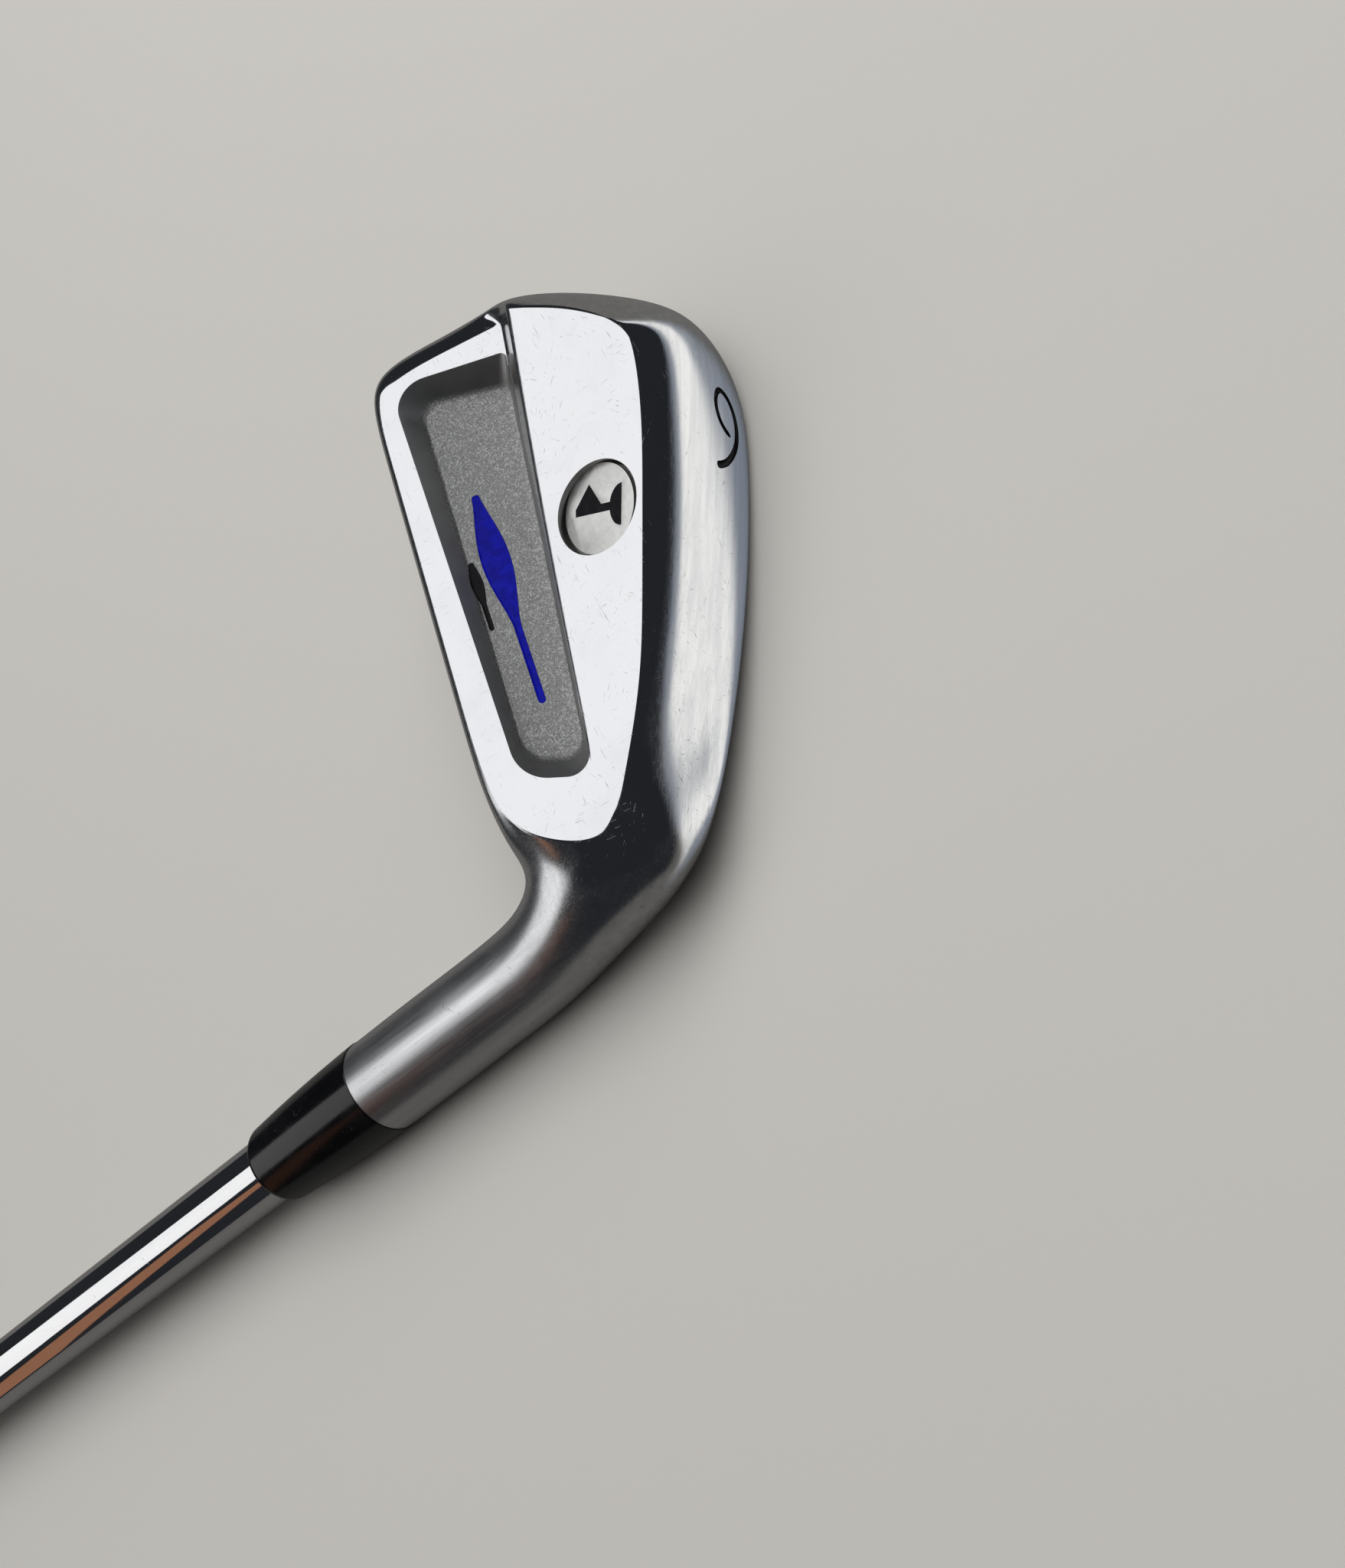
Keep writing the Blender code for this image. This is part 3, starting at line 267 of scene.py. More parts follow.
def head_cage():
    """Points, faces and creased edges of the cage that the forging is subdivided from."""
    rings = [hosel_ring(HOSEL_TOP, HOSEL_OD), hosel_ring(52.0 * MM, HOSEL_OD),
             hosel_ring(42.0 * MM, NECK_OD), hosel_ring(34.0 * MM, NECK_OD),
             neck_ring(mm(-8.4, 27.4, -6.8), mm(-16.2, 16.2, -6.3), 0.75, 6.8, 6.8),
             neck_ring(mm(-6.9, 26.4, -3.6), mm(-11.4, 10.4, -2.2), 0.5, 6.8, 6.6),
             neck_ring(mm(-5.4, 26.6, -0.4), mm(-7.2, 6.2, 1.0), 0.25, 5.4, 5.0),
             heel_ring(), blade_ring(3.0 * MM, 3.0 * MM, 13.3 * MM)]
    rings += [blade_ring(u * MM, u * MM, 11.2 * MM) for u in (14.0, 25.0, 36.0, 46.0)]
    rings += [blade_ring(53.0 * MM, 57.0 * MM, 12.6 * MM, 0.1 * MM), toe_ring()]
    points = [point for ring in rings for point in ring]
    columns = len(COLUMNS)
    last = len(rings) - 1

    def at(ring, name):
        return ring * columns + COLUMNS.index(name)

    faces = bridge(len(rings), columns)
    rim = [[at(last, "t1")], [at(last, "t2")], [at(last, "t3")]]
    for line, places, end in zip(rim, TOE_RIM, ("s1", "s2", "s3")):
        for place in places:
            line.append(len(points))
            points.append(place)
        line.append(at(last, end))
    back = [at(last, "b%d" % i) for i in range(6)]
    face = [at(last, "f%d" % i) for i in range(6)]
    strips = [back] + rim + [face]
    for upper, lower in zip(strips, strips[1:]):
        for i in range(5):
            faces.append((upper[i], upper[i + 1], lower[i + 1], lower[i]))
    faces.append(tuple(range(columns)))

    creases = {}

    def crease(a, b, value):
        creases[(min(a, b), max(a, b))] = value

    for ring in range(HEEL_RING, last):
        crease(at(ring, "b5"), at(ring + 1, "b5"), FLAT_EDGE)
        crease(at(ring, "b0"), at(ring + 1, "b0"), TOPLINE_EDGE)
        crease(at(ring, "f0"), at(ring + 1, "f0"), FACE_EDGE)
        crease(at(ring, "f5"), at(ring + 1, "f5"), LEADING_EDGE)
    for ring in range(HEEL_RING + 1, last):
        crease(at(ring, "b2"), at(ring + 1, "b2"), STEP_EDGE)
        crease(at(ring, "b3"), at(ring + 1, "b3"), STEP_EDGE)
    for i in range(5):
        crease(at(HEEL_RING, "b%d" % i), at(HEEL_RING, "b%d" % (i + 1)), FLAT_EDGE)
        crease(back[i], back[i + 1], FLAT_EDGE)
        crease(face[i], face[i + 1], FACE_EDGE)
    crease(back[2], rim[0][2], STEP_END_EDGE)
    crease(back[3], rim[0][3], STEP_END_EDGE)
    for i in range(columns):
        crease(i, (i + 1) % columns, 1.0)
    return points, faces, creases


def select_only(piece):
    bpy.ops.object.select_all(action="DESELECT")
    piece.select_set(True)
    bpy.context.view_layer.objects.active = piece


def new_piece(name, points, faces, edges=()):
    """A mesh object at the origin, with its faces turned outwards."""
    mesh = bpy.data.meshes.new(name)
    mesh.from_pydata([tuple(point) for point in points], list(edges), list(faces))
    piece = bpy.data.objects.new(name, mesh)
    bpy.context.scene.collection.objects.link(piece)
    select_only(piece)
    if faces:
        bpy.ops.object.mode_set(mode="EDIT")
        bpy.ops.mesh.select_all(action="SELECT")
        bpy.ops.mesh.normals_make_consistent(inside=False)
        bpy.ops.object.mode_set(mode="OBJECT")
    return piece


def loft(name, rings):
    """A closed solid through rings of one count, with both ends filled."""
    count = len(rings[0])
    points = [point for ring in rings for point in ring]
    ends = [tuple(range(count)), tuple(range(len(points) - count, len(points)))]
    return new_piece(name, points, ends + bridge(len(rings), count))


def apply_modifiers(piece):
    select_only(piece)
    for modifier in list(piece.modifiers):
        bpy.ops.object.modifier_apply(modifier=modifier.name)


def combine(piece, other, operation, finishes="INDEX"):
    """Joins another shape to a piece, or takes it away, and removes the other."""
    step = piece.modifiers.new("combine", "BOOLEAN")
    step.operation = operation
    step.solver = "EXACT"
    step.material_mode = finishes
    step.object = other
    apply_modifiers(piece)
    bpy.data.objects.remove(other, do_unlink=True)


def carve(piece, cutter, finish):
    """Cuts the tool's shape out of a piece. The cut keeps the tool's own finish."""
    cutter.data.materials.append(finish)
    combine(piece, cutter, "DIFFERENCE", "TRANSFER")


def fill(tree, step, inputs):
    """Gives a node its inputs, each as a value or as the socket that feeds it."""
    for key, value in inputs.items():
        if isinstance(value, bpy.types.NodeSocket):
            tree.links.new(value, step.inputs[key])
        else:
            step.inputs[key].default_value = value
    return step


def add(tree, kind, inputs=None, **settings):
    """One node, with its settings and inputs."""
    step = tree.nodes.new(kind)
    for key, value in settings.items():
        setattr(step, key, value)
    return fill(tree, step, inputs or {})


def sums(tree, operation, first, second=0.0, third=0.0):
    step = add(tree, "ShaderNodeMath", {0: first, 1: second, 2: third}, operation=operation)
    return step.outputs[0]


def span(tree, value, low, high, to_low=0.0, to_high=1.0):
    """The value's way from low to high, eased, as to_low to to_high."""
    step = add(tree, "ShaderNodeMapRange", {"Value": value, "From Min": low, "From Max": high,
                                            "To Min": to_low, "To Max": to_high},
               interpolation_type="SMOOTHSTEP")
    return step.outputs["Result"]


def blend(tree, part, first, second):
    """Mix of two colours."""
    step = add(tree, "ShaderNodeMix", {"Factor": part}, data_type="RGBA")
    colours = [value if isinstance(value, bpy.types.NodeSocket) else (*value, 1.0)
               for value in (first, second)]
    return fill(tree, step, {6: colours[0], 7: colours[1]}).outputs[2]


def place_vector(tree, place):
    """Object coordinates as millimetres of the given frame."""
    back = place.inverted()
    where = add(tree, "ShaderNodeTexCoord").outputs["Object"]
    return mapped(tree, where, Location=back.translation / MM, Rotation=back.to_euler(),
                  Scale=(1.0 / MM,) * 3)


def mapped(tree, vector, **settings):
    """The vector, turned or scaled."""
    return add(tree, "ShaderNodeMapping", {"Vector": vector, **settings}).outputs["Vector"]


def noise(tree, vector, scale, detail=3.0, rough=0.5):
    step = add(tree, "ShaderNodeTexNoise", {"Vector": vector, "Scale": scale, "Detail": detail,
                                            "Roughness": rough})
    return step.outputs["Fac"]


def new_group(name, inputs, outputs):
    tree = bpy.data.node_groups.new(name, "ShaderNodeTree")
    for label, kind in inputs:
        tree.interface.new_socket(label, in_out="INPUT", socket_type="NodeSocket" + kind)
    for label in outputs:
        tree.interface.new_socket(label, in_out="OUTPUT", socket_type="NodeSocketFloat")
    return tree, tree.nodes.new("NodeGroupInput"), tree.nodes.new("NodeGroupOutput")


def make_scratches():
    """Fine hairlines that run in a few directions, in patches. Vector is in millimetres."""
    tree, start, end = new_group("hairlines", [("Vector", "Vector"), ("Density", "Float")],
                                 ["Mask"])
    total = None
    for turn, width, length, shift in ((0.25, 22.0, 0.8, 0.0), (-0.5, 18.0, 0.6, 31.0),
                                       (1.15, 20.0, 0.7, 67.0), (2.1, 16.0, 0.9, 93.0)):
        moved = add(tree, "ShaderNodeVectorMath",
                    {0: start.outputs["Vector"], 1: (shift, shift, 0.0)},
                    operation="ADD").outputs[0]
        turned = mapped(tree, moved, Rotation=(0.0, 0.0, turn))
        long = mapped(tree, turned, Scale=(length, width, 2.0))
        streak = noise(tree, long, 0.5, 2.0, 0.55)
        patch = noise(tree, moved, 0.16, 2.0)
        edge = sums(tree, "SUBTRACT", 0.8, sums(tree, "MULTIPLY", start.outputs["Density"], 0.12))
        line = span(tree, sums(tree, "SUBTRACT", streak, edge), 0.0, 0.03)
        line = sums(tree, "MULTIPLY", line, span(tree, patch, 0.42, 0.6))
        total = line if total is None else sums(tree, "MAXIMUM", total, line)
    tree.links.new(total, end.inputs["Mask"])
    return tree


def make_brushing():
    """Polishing lines that run along X, from broad bands to a fine grain."""
    tree, start, end = new_group("brushing", [("Vector", "Vector"), ("Grain", "Float")],
                                 ["Value", "Bands"])
    fine = mapped(tree, start.outputs["Vector"], Scale=(0.05, 6.0, 6.0))
    broad = mapped(tree, start.outputs["Vector"], Scale=(0.02, 0.9, 0.9))
    lines = noise(tree, fine, start.outputs["Grain"], 4.0, 0.6)
    tree.links.new(lines, end.inputs["Value"])
    tree.links.new(noise(tree, broad, 1.0, 3.0), end.inputs["Bands"])
    return tree


def make_smudges():
    """Soft patches of handling and dust, for the gloss of any finish."""
    tree, start, end = new_group("smudges", [("Vector", "Vector"), ("Size", "Float")], ["Mask"])
    size = sums(tree, "DIVIDE", 1.0, start.outputs["Size"])
    cloud = add(tree, "ShaderNodeTexNoise", {"Vector": start.outputs["Vector"], "Scale": size,
                                             "Detail": 5.0, "Roughness": 0.62, "Distortion": 0.6})
    tree.links.new(span(tree, cloud.outputs["Fac"], 0.42, 0.72), end.inputs["Mask"])
    return tree


HAIRLINES = make_scratches()
BRUSHING = make_brushing()
SMUDGES = make_smudges()


def hairlines(tree, here, density):
    step = add(tree, "ShaderNodeGroup", node_tree=HAIRLINES)
    return fill(tree, step, {"Vector": here, "Density": density}).outputs["Mask"]


def smudges(tree, here, size):
    step = add(tree, "ShaderNodeGroup", node_tree=SMUDGES)
    return fill(tree, step, {"Vector": here, "Size": size}).outputs["Mask"]


def brushing(tree, here, grain):
    step = add(tree, "ShaderNodeGroup", node_tree=BRUSHING)
    return fill(tree, step, {"Vector": here, "Grain": grain}).outputs


def new_finish(name, roughness=0.5, metallic=0.0):
    mat = bpy.data.materials.new(name)
    mat.use_nodes = True
    tree = mat.node_tree
    shader = tree.nodes["Principled BSDF"]
    shader.inputs["Roughness"].default_value = roughness
    shader.inputs["Metallic"].default_value = metallic
    return mat, tree, shader


def feed(tree, shader, **sockets):
    for key, value in sockets.items():
        tree.links.new(value, shader.inputs[key.replace("_", " ")])


def bump(tree, shader, height, strength, distance):
    step = add(tree, "ShaderNodeBump",
               {"Height": height, "Strength": strength, "Distance": distance})
    tree.links.new(step.outputs["Normal"], shader.inputs["Normal"])


LENGTHWAYS = (0.0, math.pi / 2.0, 0.0)      # lays brushed lines along the shaft


def make_steel():
    """Plated steel: mirror flats, satin brushing round the sole and along the hosel."""
    mat, tree, shader = new_finish("forged_steel", 0.2, 1.0)
    here = place_vector(tree, HEAD)
    down_shaft = place_vector(tree, AXIS)
    apart = add(tree, "ShaderNodeSeparateXYZ", {0: down_shaft})
    hosel = span(tree, apart.outputs["Z"], 18.0, 32.0)
    normal = add(tree, "ShaderNodeTexCoord").outputs["Normal"]
    facing = add(tree, "ShaderNodeVectorMath", {0: normal, 1: HEAD.to_3x3() @ Vector((0, 0, 1))},
                 operation="DOT_PRODUCT").outputs["Value"]
    mirror = sums(tree, "MULTIPLY", span(tree, facing, 0.85, 0.9),
                  sums(tree, "SUBTRACT", 1.0, hosel))
    blade_lines = brushing(tree, here, 1.0)
    shaft_lines = brushing(tree, mapped(tree, down_shaft, Rotation=LENGTHWAYS), 1.3)

    def by_place(socket):
        on_blade = sums(tree, "MULTIPLY", blade_lines[socket], sums(tree, "SUBTRACT", 1.0, hosel))
        return sums(tree, "MULTIPLY_ADD", shaft_lines[socket], hosel, on_blade)

    lines, bands = by_place("Value"), by_place("Bands")
    marks, cloud = hairlines(tree, here, 0.85), smudges(tree, here, 9.0)
    satin = sums(tree, "SUBTRACT", 1.0, mirror)
    gloss = sums(tree, "MULTIPLY_ADD", satin, span(tree, lines, 0.3, 0.7, 0.1, 0.2), 0.055)
    gloss = sums(tree, "MULTIPLY_ADD", hosel, 0.12, gloss)
    gloss = sums(tree, "MULTIPLY_ADD", cloud, 0.03, gloss)
    gloss = sums(tree, "MULTIPLY_ADD", marks, 0.25, gloss)
    brushed = blend(tree, span(tree, bands, 0.3, 0.7), (0.54, 0.545, 0.56),
                    (0.64, 0.64, 0.645))
    bright = blend(tree, cloud, (0.64, 0.64, 0.65), (0.61, 0.61, 0.63))
    tint = blend(tree, mirror, brushed, bright)
    tint = blend(tree, sums(tree, "MULTIPLY", marks, 0.7), tint, (0.14, 0.135, 0.13))
    height = sums(tree, "MULTIPLY", sums(tree, "MULTIPLY", lines, satin), 0.7)
    height = sums(tree, "SUBTRACT", height, sums(tree, "MULTIPLY", marks, 0.8))
    height = sums(tree, "MULTIPLY_ADD", noise(tree, here, 0.22, 1.0), 3.0, height)
    feed(tree, shader, Roughness=gloss, Base_Color=tint)
    bump(tree, shader, height, 0.5, 0.0000045)
    return mat


def make_pocket_blast():
    """Shot-blasted nickel: a sparkling grey floor, with walls that were milled and left darker."""
    mat, tree, shader = new_finish("pocket_blast", 0.45, 1.0)
    here = place_vector(tree, HEAD)
    apart = add(tree, "ShaderNodeSeparateXYZ", {0: here})
    floor = span(tree, apart.outputs["Z"], 4.5, 3.7)
    grit = add(tree, "ShaderNodeTexVoronoi", {"Vector": here, "Scale": 5.5}, feature="F1")
    fine = noise(tree, here, 7.0, 4.0, 0.75)
    shade = add(tree, "ShaderNodeSeparateColor", {0: grit.outputs["Color"]}).outputs[0]
    sparkle = span(tree, shade, 0.55, 1.0)
    cloud = noise(tree, here, 0.25, 4.0)
    grain = blend(tree, span(tree, fine, 0.32, 0.7), (0.16, 0.16, 0.157), (0.44, 0.44, 0.435))
    grain = blend(tree, sums(tree, "MULTIPLY", sparkle, 0.45), grain, (0.75, 0.75, 0.74))
    wall = blend(tree, cloud, (0.28, 0.28, 0.275), (0.42, 0.42, 0.415))
    rough = sums(tree, "MULTIPLY_ADD", floor, 0.06, 0.48)
    height = sums(tree, "MULTIPLY", sums(tree, "ADD", fine, grit.outputs["Distance"]),
                  sums(tree, "MULTIPLY_ADD", floor, 0.8, 0.2))
    feed(tree, shader, Base_Color=blend(tree, floor, wall, grain), Roughness=rough)
    bump(tree, shader, height, 0.7, 0.00005)
    return mat


def make_paint(name, deep, pale, roughness):
    """Stoved enamel, poured into a recess: glossy, with a soft flow and dust in it."""
    mat, tree, shader = new_finish(name, roughness)
    here = place_vector(tree, HEAD)
    flow = noise(tree, here, 0.8, 3.0)
    specks = span(tree, noise(tree, here, 9.0, 2.0), 0.66, 0.74)
    tint = blend(tree, span(tree, flow, 0.3, 0.75), deep, pale)
    tint = blend(tree, sums(tree, "MULTIPLY", specks, 0.08), tint, (0.5, 0.5, 0.5))
    rough = sums(tree, "MULTIPLY_ADD", smudges(tree, here, 4.0), 0.08, roughness)
    feed(tree, shader, Base_Color=tint, Roughness=rough)
    shader.inputs["Specular IOR Level"].default_value = 0.06
    bump(tree, shader, flow, 0.15, 0.00005)
    return mat


steel = make_steel()
pocket_blast = make_pocket_blast()
black_enamel = make_paint("black_enamel", (0.004, 0.004, 0.005), (0.008, 0.008, 0.009), 0.22)

points, faces, creases = head_cage()
head = new_piece("forged_head", points, faces)
work = bmesh.new()
work.from_mesh(head.data)
work.verts.ensure_lookup_table()
layer = work.edges.layers.float.new("crease_edge")
for (a, b), value in creases.items():
    work.edges.get((work.verts[a], work.verts[b]))[layer] = value
work.to_mesh(head.data)
work.free()
head.data.materials.append(steel)
surface = head.modifiers.new("surface", "SUBSURF")
surface.levels = 4
surface.render_levels = 4
apply_modifiers(head)

# The pocket is milled behind the face and blasted, with drafted walls and a small chamfer
# round its rim. Its four corners have radii of their own.
RIM_TOP = 29.4 * MM
RIM_SLOPE = 0.355
RIM_HEEL = 13.5 * MM            # where the rim is RIM_TOP high
POCKET_TOE = 59.9 * MM
POCKET_HEEL = 3.7 * MM
TOE_LEAN = 0.235
RIM_RADII = (5.0, 4.0, 1.0, 2.6)
FLOOR_RADII = (4.0, 2.6, 1.8, 2.6)
WALL_RUN = (1.4, 2.9, 2.2, 3.0)
CHAMFER = 0.22 * MM
FILLET_UP, FILLET_OVER = 0.9, 0.7       # of the fillet, up the wall and over the floor


def rounded(corners, radii, steps):
    """An outline of corners, each rounded by its radius in millimetres."""
    outline = []
    for i, radius in enumerate(radii):
        radius *= MM
        here = Vector(corners[i])
        before = (Vector(corners[i - 1]) - here).normalized()
        after = (Vector(corners[(i + 1) % len(corners)]) - here).normalized()
        half = before.angle(after) / 2.0
        centre = here + (before + after).normalized() * (radius / math.sin(half))
        reach = radius / math.tan(half)
        first, second = here + before * reach - centre, here + after * reach - centre
        sweep = first.angle(second)
        for step in range(steps + 1):
            part = step / steps
            a, b = math.sin((1.0 - part) * sweep), math.sin(part * sweep)
            outline.append(centre + (first * a + second * b) / math.sin(sweep))
    return outline


def pocket_corners(inset):
    top_heel = RIM_TOP - inset * WALL_RUN[0] * MM
    slope = RIM_SLOPE - inset * (WALL_RUN[1] - WALL_RUN[0]) / 45.0
    toe = POCKET_TOE - inset * WALL_RUN[2] * MM
    heel = POCKET_HEEL + inset * WALL_RUN[3] * MM
    foot = (0.25 + inset * 0.5) * MM

    def top(u):
        return top_heel + slope * (u - RIM_HEEL)

    toe_foot = crest_foot(toe) + foot
    toe_top = toe
    for _ in range(8):
        toe_top = toe - TOE_LEAN * (top(toe_top) - toe_foot)
    return ((heel, top(heel)), (toe_top, top(toe_top)), (toe, toe_foot),
            (heel, crest_foot(heel) + foot))


def pocket_tool():
    """A cutter in rings: above the rim, the chamfer, the drafted wall and the fillet."""
    corner_steps = 14
    rim = rounded(pocket_corners(0.0), RIM_RADII, corner_steps)
    floor = rounded(pocket_corners(1.0), FLOOR_RADII, corner_steps)
    middle = sum(floor, Vector((0.0, 0.0))) / len(floor)
    fillet_steps = 5
    rings = [[] for _ in range(4 + fillet_steps)]
    for a, b in zip(rim, floor):
        outwards = (a - b).normalized()
        edge = on_flat(*a)
        foot = Vector((b.x, b.y, POCKET_FLOOR))
        flare = Vector((outwards.x, outwards.y, 0.0)) * CHAMFER
        rings[0].append(edge + flare * 6.0 + Vector((0, 0, 5.0 * CHAMFER)))
        rings[1].append(edge + flare)
        rings[2].append(edge - Vector((0, 0, CHAMFER * 0.8)))
        knee = foot - (foot - edge).normalized() * FILLET_UP * MM
        rings[3].append(knee)
        centre = Vector((middle.x, middle.y, POCKET_FLOOR))
        inner = foot + (centre - foot).normalized() * FILLET_OVER * MM
        for step in range(1, fillet_steps + 1):
            part = step / fillet_steps
            rings[3 + step].append(knee.lerp(foot, part).lerp(foot.lerp(inner, part), part))
    return loft("pocket_tool", rings)


carve(head, pocket_tool(), pocket_blast)

# Two enamel recesses lie in the pocket's floor: a long blue drop and a small black one.
# They are sunk half a millimetre with a cutter and filled by syringe.
DROPS = {   # the heel end, the toe end, and half the width at the widest and along the tail
    "blue_drop": (13.8, 23.9, 42.0, 33.6, 1.9, 0.5),
    "black_drop": (23.4, 30.5, 32.6, 33.7, 0.8, 0.34),
}
DROP_DEPTH = 0.5 * MM


def drop_outline(name, shrink):
    """Outline of a slim drop: round ends, widest towards the toe."""
    heel_u, heel_v, toe_u, toe_v, widest, tail = (value * MM for value in DROPS[name])
    along = Vector((toe_u - heel_u, toe_v - heel_v))
    length = along.length
    along.normalize()
    side = Vector((-along.y, along.x))
    left, right = [], []
    stations = 64
    for i in range(stations + 1):
        part = 0.5 - 0.5 * math.cos(math.pi * i / stations)
        near_end = min(part * length, 2.2 * (1.0 - part) * length)
        swell = math.sin(math.pi * min(max((part - 0.36) / 0.64, 0.0), 1.0)) ** 1.4
        half = tail + (widest - tail) * swell
        if near_end < tail:
            half *= math.sqrt(max(1.0 - (1.0 - near_end / tail) ** 2, 0.0))
        half = max(half - shrink, 0.004 * MM)
        place = Vector((heel_u, heel_v)) + along * (shrink + (length - 2.0 * shrink) * part)
        left.append(place + side * half)
        right.append(place - side * half)
    return left + right[::-1]


for name in DROPS:
    levels = (POCKET_FLOOR - DROP_DEPTH, POCKET_FLOOR + 0.4 * MM)
    outline = drop_outline(name, 0.0)
    tool = loft(name + "_tool", [[Vector((p.x, p.y, z)) for p in outline] for z in levels])
    carve(head, tool, pocket_blast)

# A shallow oval seat for the badge is milled into the muscle's flat. It dips towards the toe
# and the topline, so the badge stands deeper there and flush at the sole side.
BADGE_LENGTH = 11.4 * MM
BADGE_WIDTH = 10.0 * MM
BADGE_THICKNESS = 1.2 * MM
BADGE_TURN = math.radians(-28.0)
BADGE_MIDDLE = (35.2 * MM, 16.6 * MM)
BADGE_DIP = math.radians(5.5)
BADGE_DIP_WAY = math.radians(70.0)
SEAT_CLEARANCE = 0.5 * MM
SEAT_DEPTH = 1.52 * MM


def badge_place():
    """The badge's own frame in the head's: on the muscle's flat, dipped and sunk."""
    u, v = BADGE_MIDDLE
    step = 1.0 * MM
    across = (on_muscle(u + step, v) - on_muscle(u, v)).normalized()
    normal = across.cross(on_muscle(u, v + step) - on_muscle(u, v)).normalized()
    turn = Matrix((across, normal.cross(across), normal)).transposed().to_4x4()
    hinge = Vector((-math.sin(BADGE_DIP_WAY), math.cos(BADGE_DIP_WAY), 0.0))
    tilt = Matrix.Rotation(BADGE_DIP, 4, hinge)
    sink = Matrix.Translation((0.0, 0.0, -BADGE_LENGTH / 2.0 * math.sin(BADGE_DIP)))
    return Matrix.Translation(on_muscle(u, v)) @ turn @ sink @ tilt


BADGE = badge_place()


def oval(name, length, width, low, high, count=128):
    rings = []
    for z in (low, high):
        ring = []
        for i in range(count):
            angle = 2.0 * math.pi * i / count
            place = Vector((length / 2.0 * math.cos(angle), width / 2.0 * math.sin(angle), z))
            ring.append(Matrix.Rotation(BADGE_TURN, 3, "Z") @ place)
        rings.append(ring)
    return loft(name, rings)


seat = oval("seat_tool", BADGE_LENGTH + SEAT_CLEARANCE, BADGE_WIDTH + SEAT_CLEARANCE,
            -SEAT_DEPTH, 3.0 * MM)
seat.data.transform(BADGE)
carve(head, seat, pocket_blast)

# Score lines are pressed into the face three millimetres apart and blasted with it.
SCORE_WIDTH = 0.8 * MM
SCORE_DEPTH = 0.45 * MM
SCORE_FIRST, SCORE_PITCH = 2.6, 3.0
SCORE_HEEL, SCORE_TOE = 6.0 * MM, 57.0 * MM
SCORE_SHORTEST = 10.0 * MM
TOPLINE_MARGIN = 6.5 * MM
SCORE_BAR = [(0, 1, 2, 3), (12, 13, 14, 15)] + bridge(4, 4)
score_points, score_faces = [], []
for i in range(13):
    v = (SCORE_FIRST + SCORE_PITCH * i) * MM
    heel = max(SCORE_HEEL, (v + TOPLINE_MARGIN - topline(0.0)) / TOPLINE_RISE)
    if heel >= SCORE_TOE - SCORE_SHORTEST:
        continue
    start = len(score_points)
    for z, half in ((-0.5 * MM, SCORE_WIDTH * 0.62), (0.0, SCORE_WIDTH / 2.0),
                    (SCORE_DEPTH * 0.7, SCORE_WIDTH * 0.36), (SCORE_DEPTH, SCORE_WIDTH * 0.18)):
        for u, side in ((heel, -half), (SCORE_TOE, -half), (SCORE_TOE, half), (heel, half)):
            score_points.append((u, v + side, z))
    score_faces += [tuple(start + corner for corner in face) for face in SCORE_BAR]
carve(head, new_piece("score_tool", score_points, score_faces), pocket_blast)

# The hosel is bored down the shaft axis for the shaft and its epoxy.
BORE_OVERCUT = 5.0 * MM
bore_middle = HOSEL_TOP - BORE_DEPTH / 2.0 + BORE_OVERCUT / 2.0
bpy.ops.object.select_all(action="DESELECT")
bpy.ops.mesh.primitive_cylinder_add(vertices=96, radius=BORE_OD / 2.0,
                                    depth=BORE_DEPTH + BORE_OVERCUT,
                                    location=(0.0, 0.0, bore_middle))
bore = bpy.context.object
bore.data.transform(HEAD.inverted() @ AXIS @ bore.matrix_world)
bore.matrix_world = Matrix()
carve(head, bore, steel)

# A numeral is stamped into the sole near the toe, to tell the clubs of a set apart, and is
# filled with black paint. It is one slanted stroke, with its top towards the heel.
NUMERAL_MIDDLE = mm(48.7, 1.5, 6.5)
NUMERAL_STROKE = (  # in millimetres towards the toe and towards the back
    (-1.1, -0.9), (-0.5, 0.4), (0.6, 1.5), (2.2, 2.1), (3.7, 1.9), (4.6, 1.2), (4.65, 0.3),
    (4.1, -0.7), (2.9, -1.6), (1.4, -2.15), (-0.1, -2.3), (-1.7, -2.1), (-3.3, -1.4),
    (-4.8, -0.3), (-5.7, 0.95), (-6.0, 1.8),
)
NUMERAL_HALF = 0.5 * MM
TOWARDS_BACK = Vector((0.0, 0.55, 0.835)).normalized()


def stroke_point(i, part):
    """A point of the smooth line through the stroke's points, past its point i."""
    last = len(NUMERAL_STROKE) - 1
    a, b, c, d = (Vector(NUMERAL_STROKE[min(max(i + k, 0), last)]) for k in (-1, 0, 1, 2))
    return 0.5 * (2.0 * b + (c - a) * part + (2.0 * a - 5.0 * b + 4.0 * c - d) * part ** 2
                  + (3.0 * b - a - 3.0 * c + d) * part ** 3)


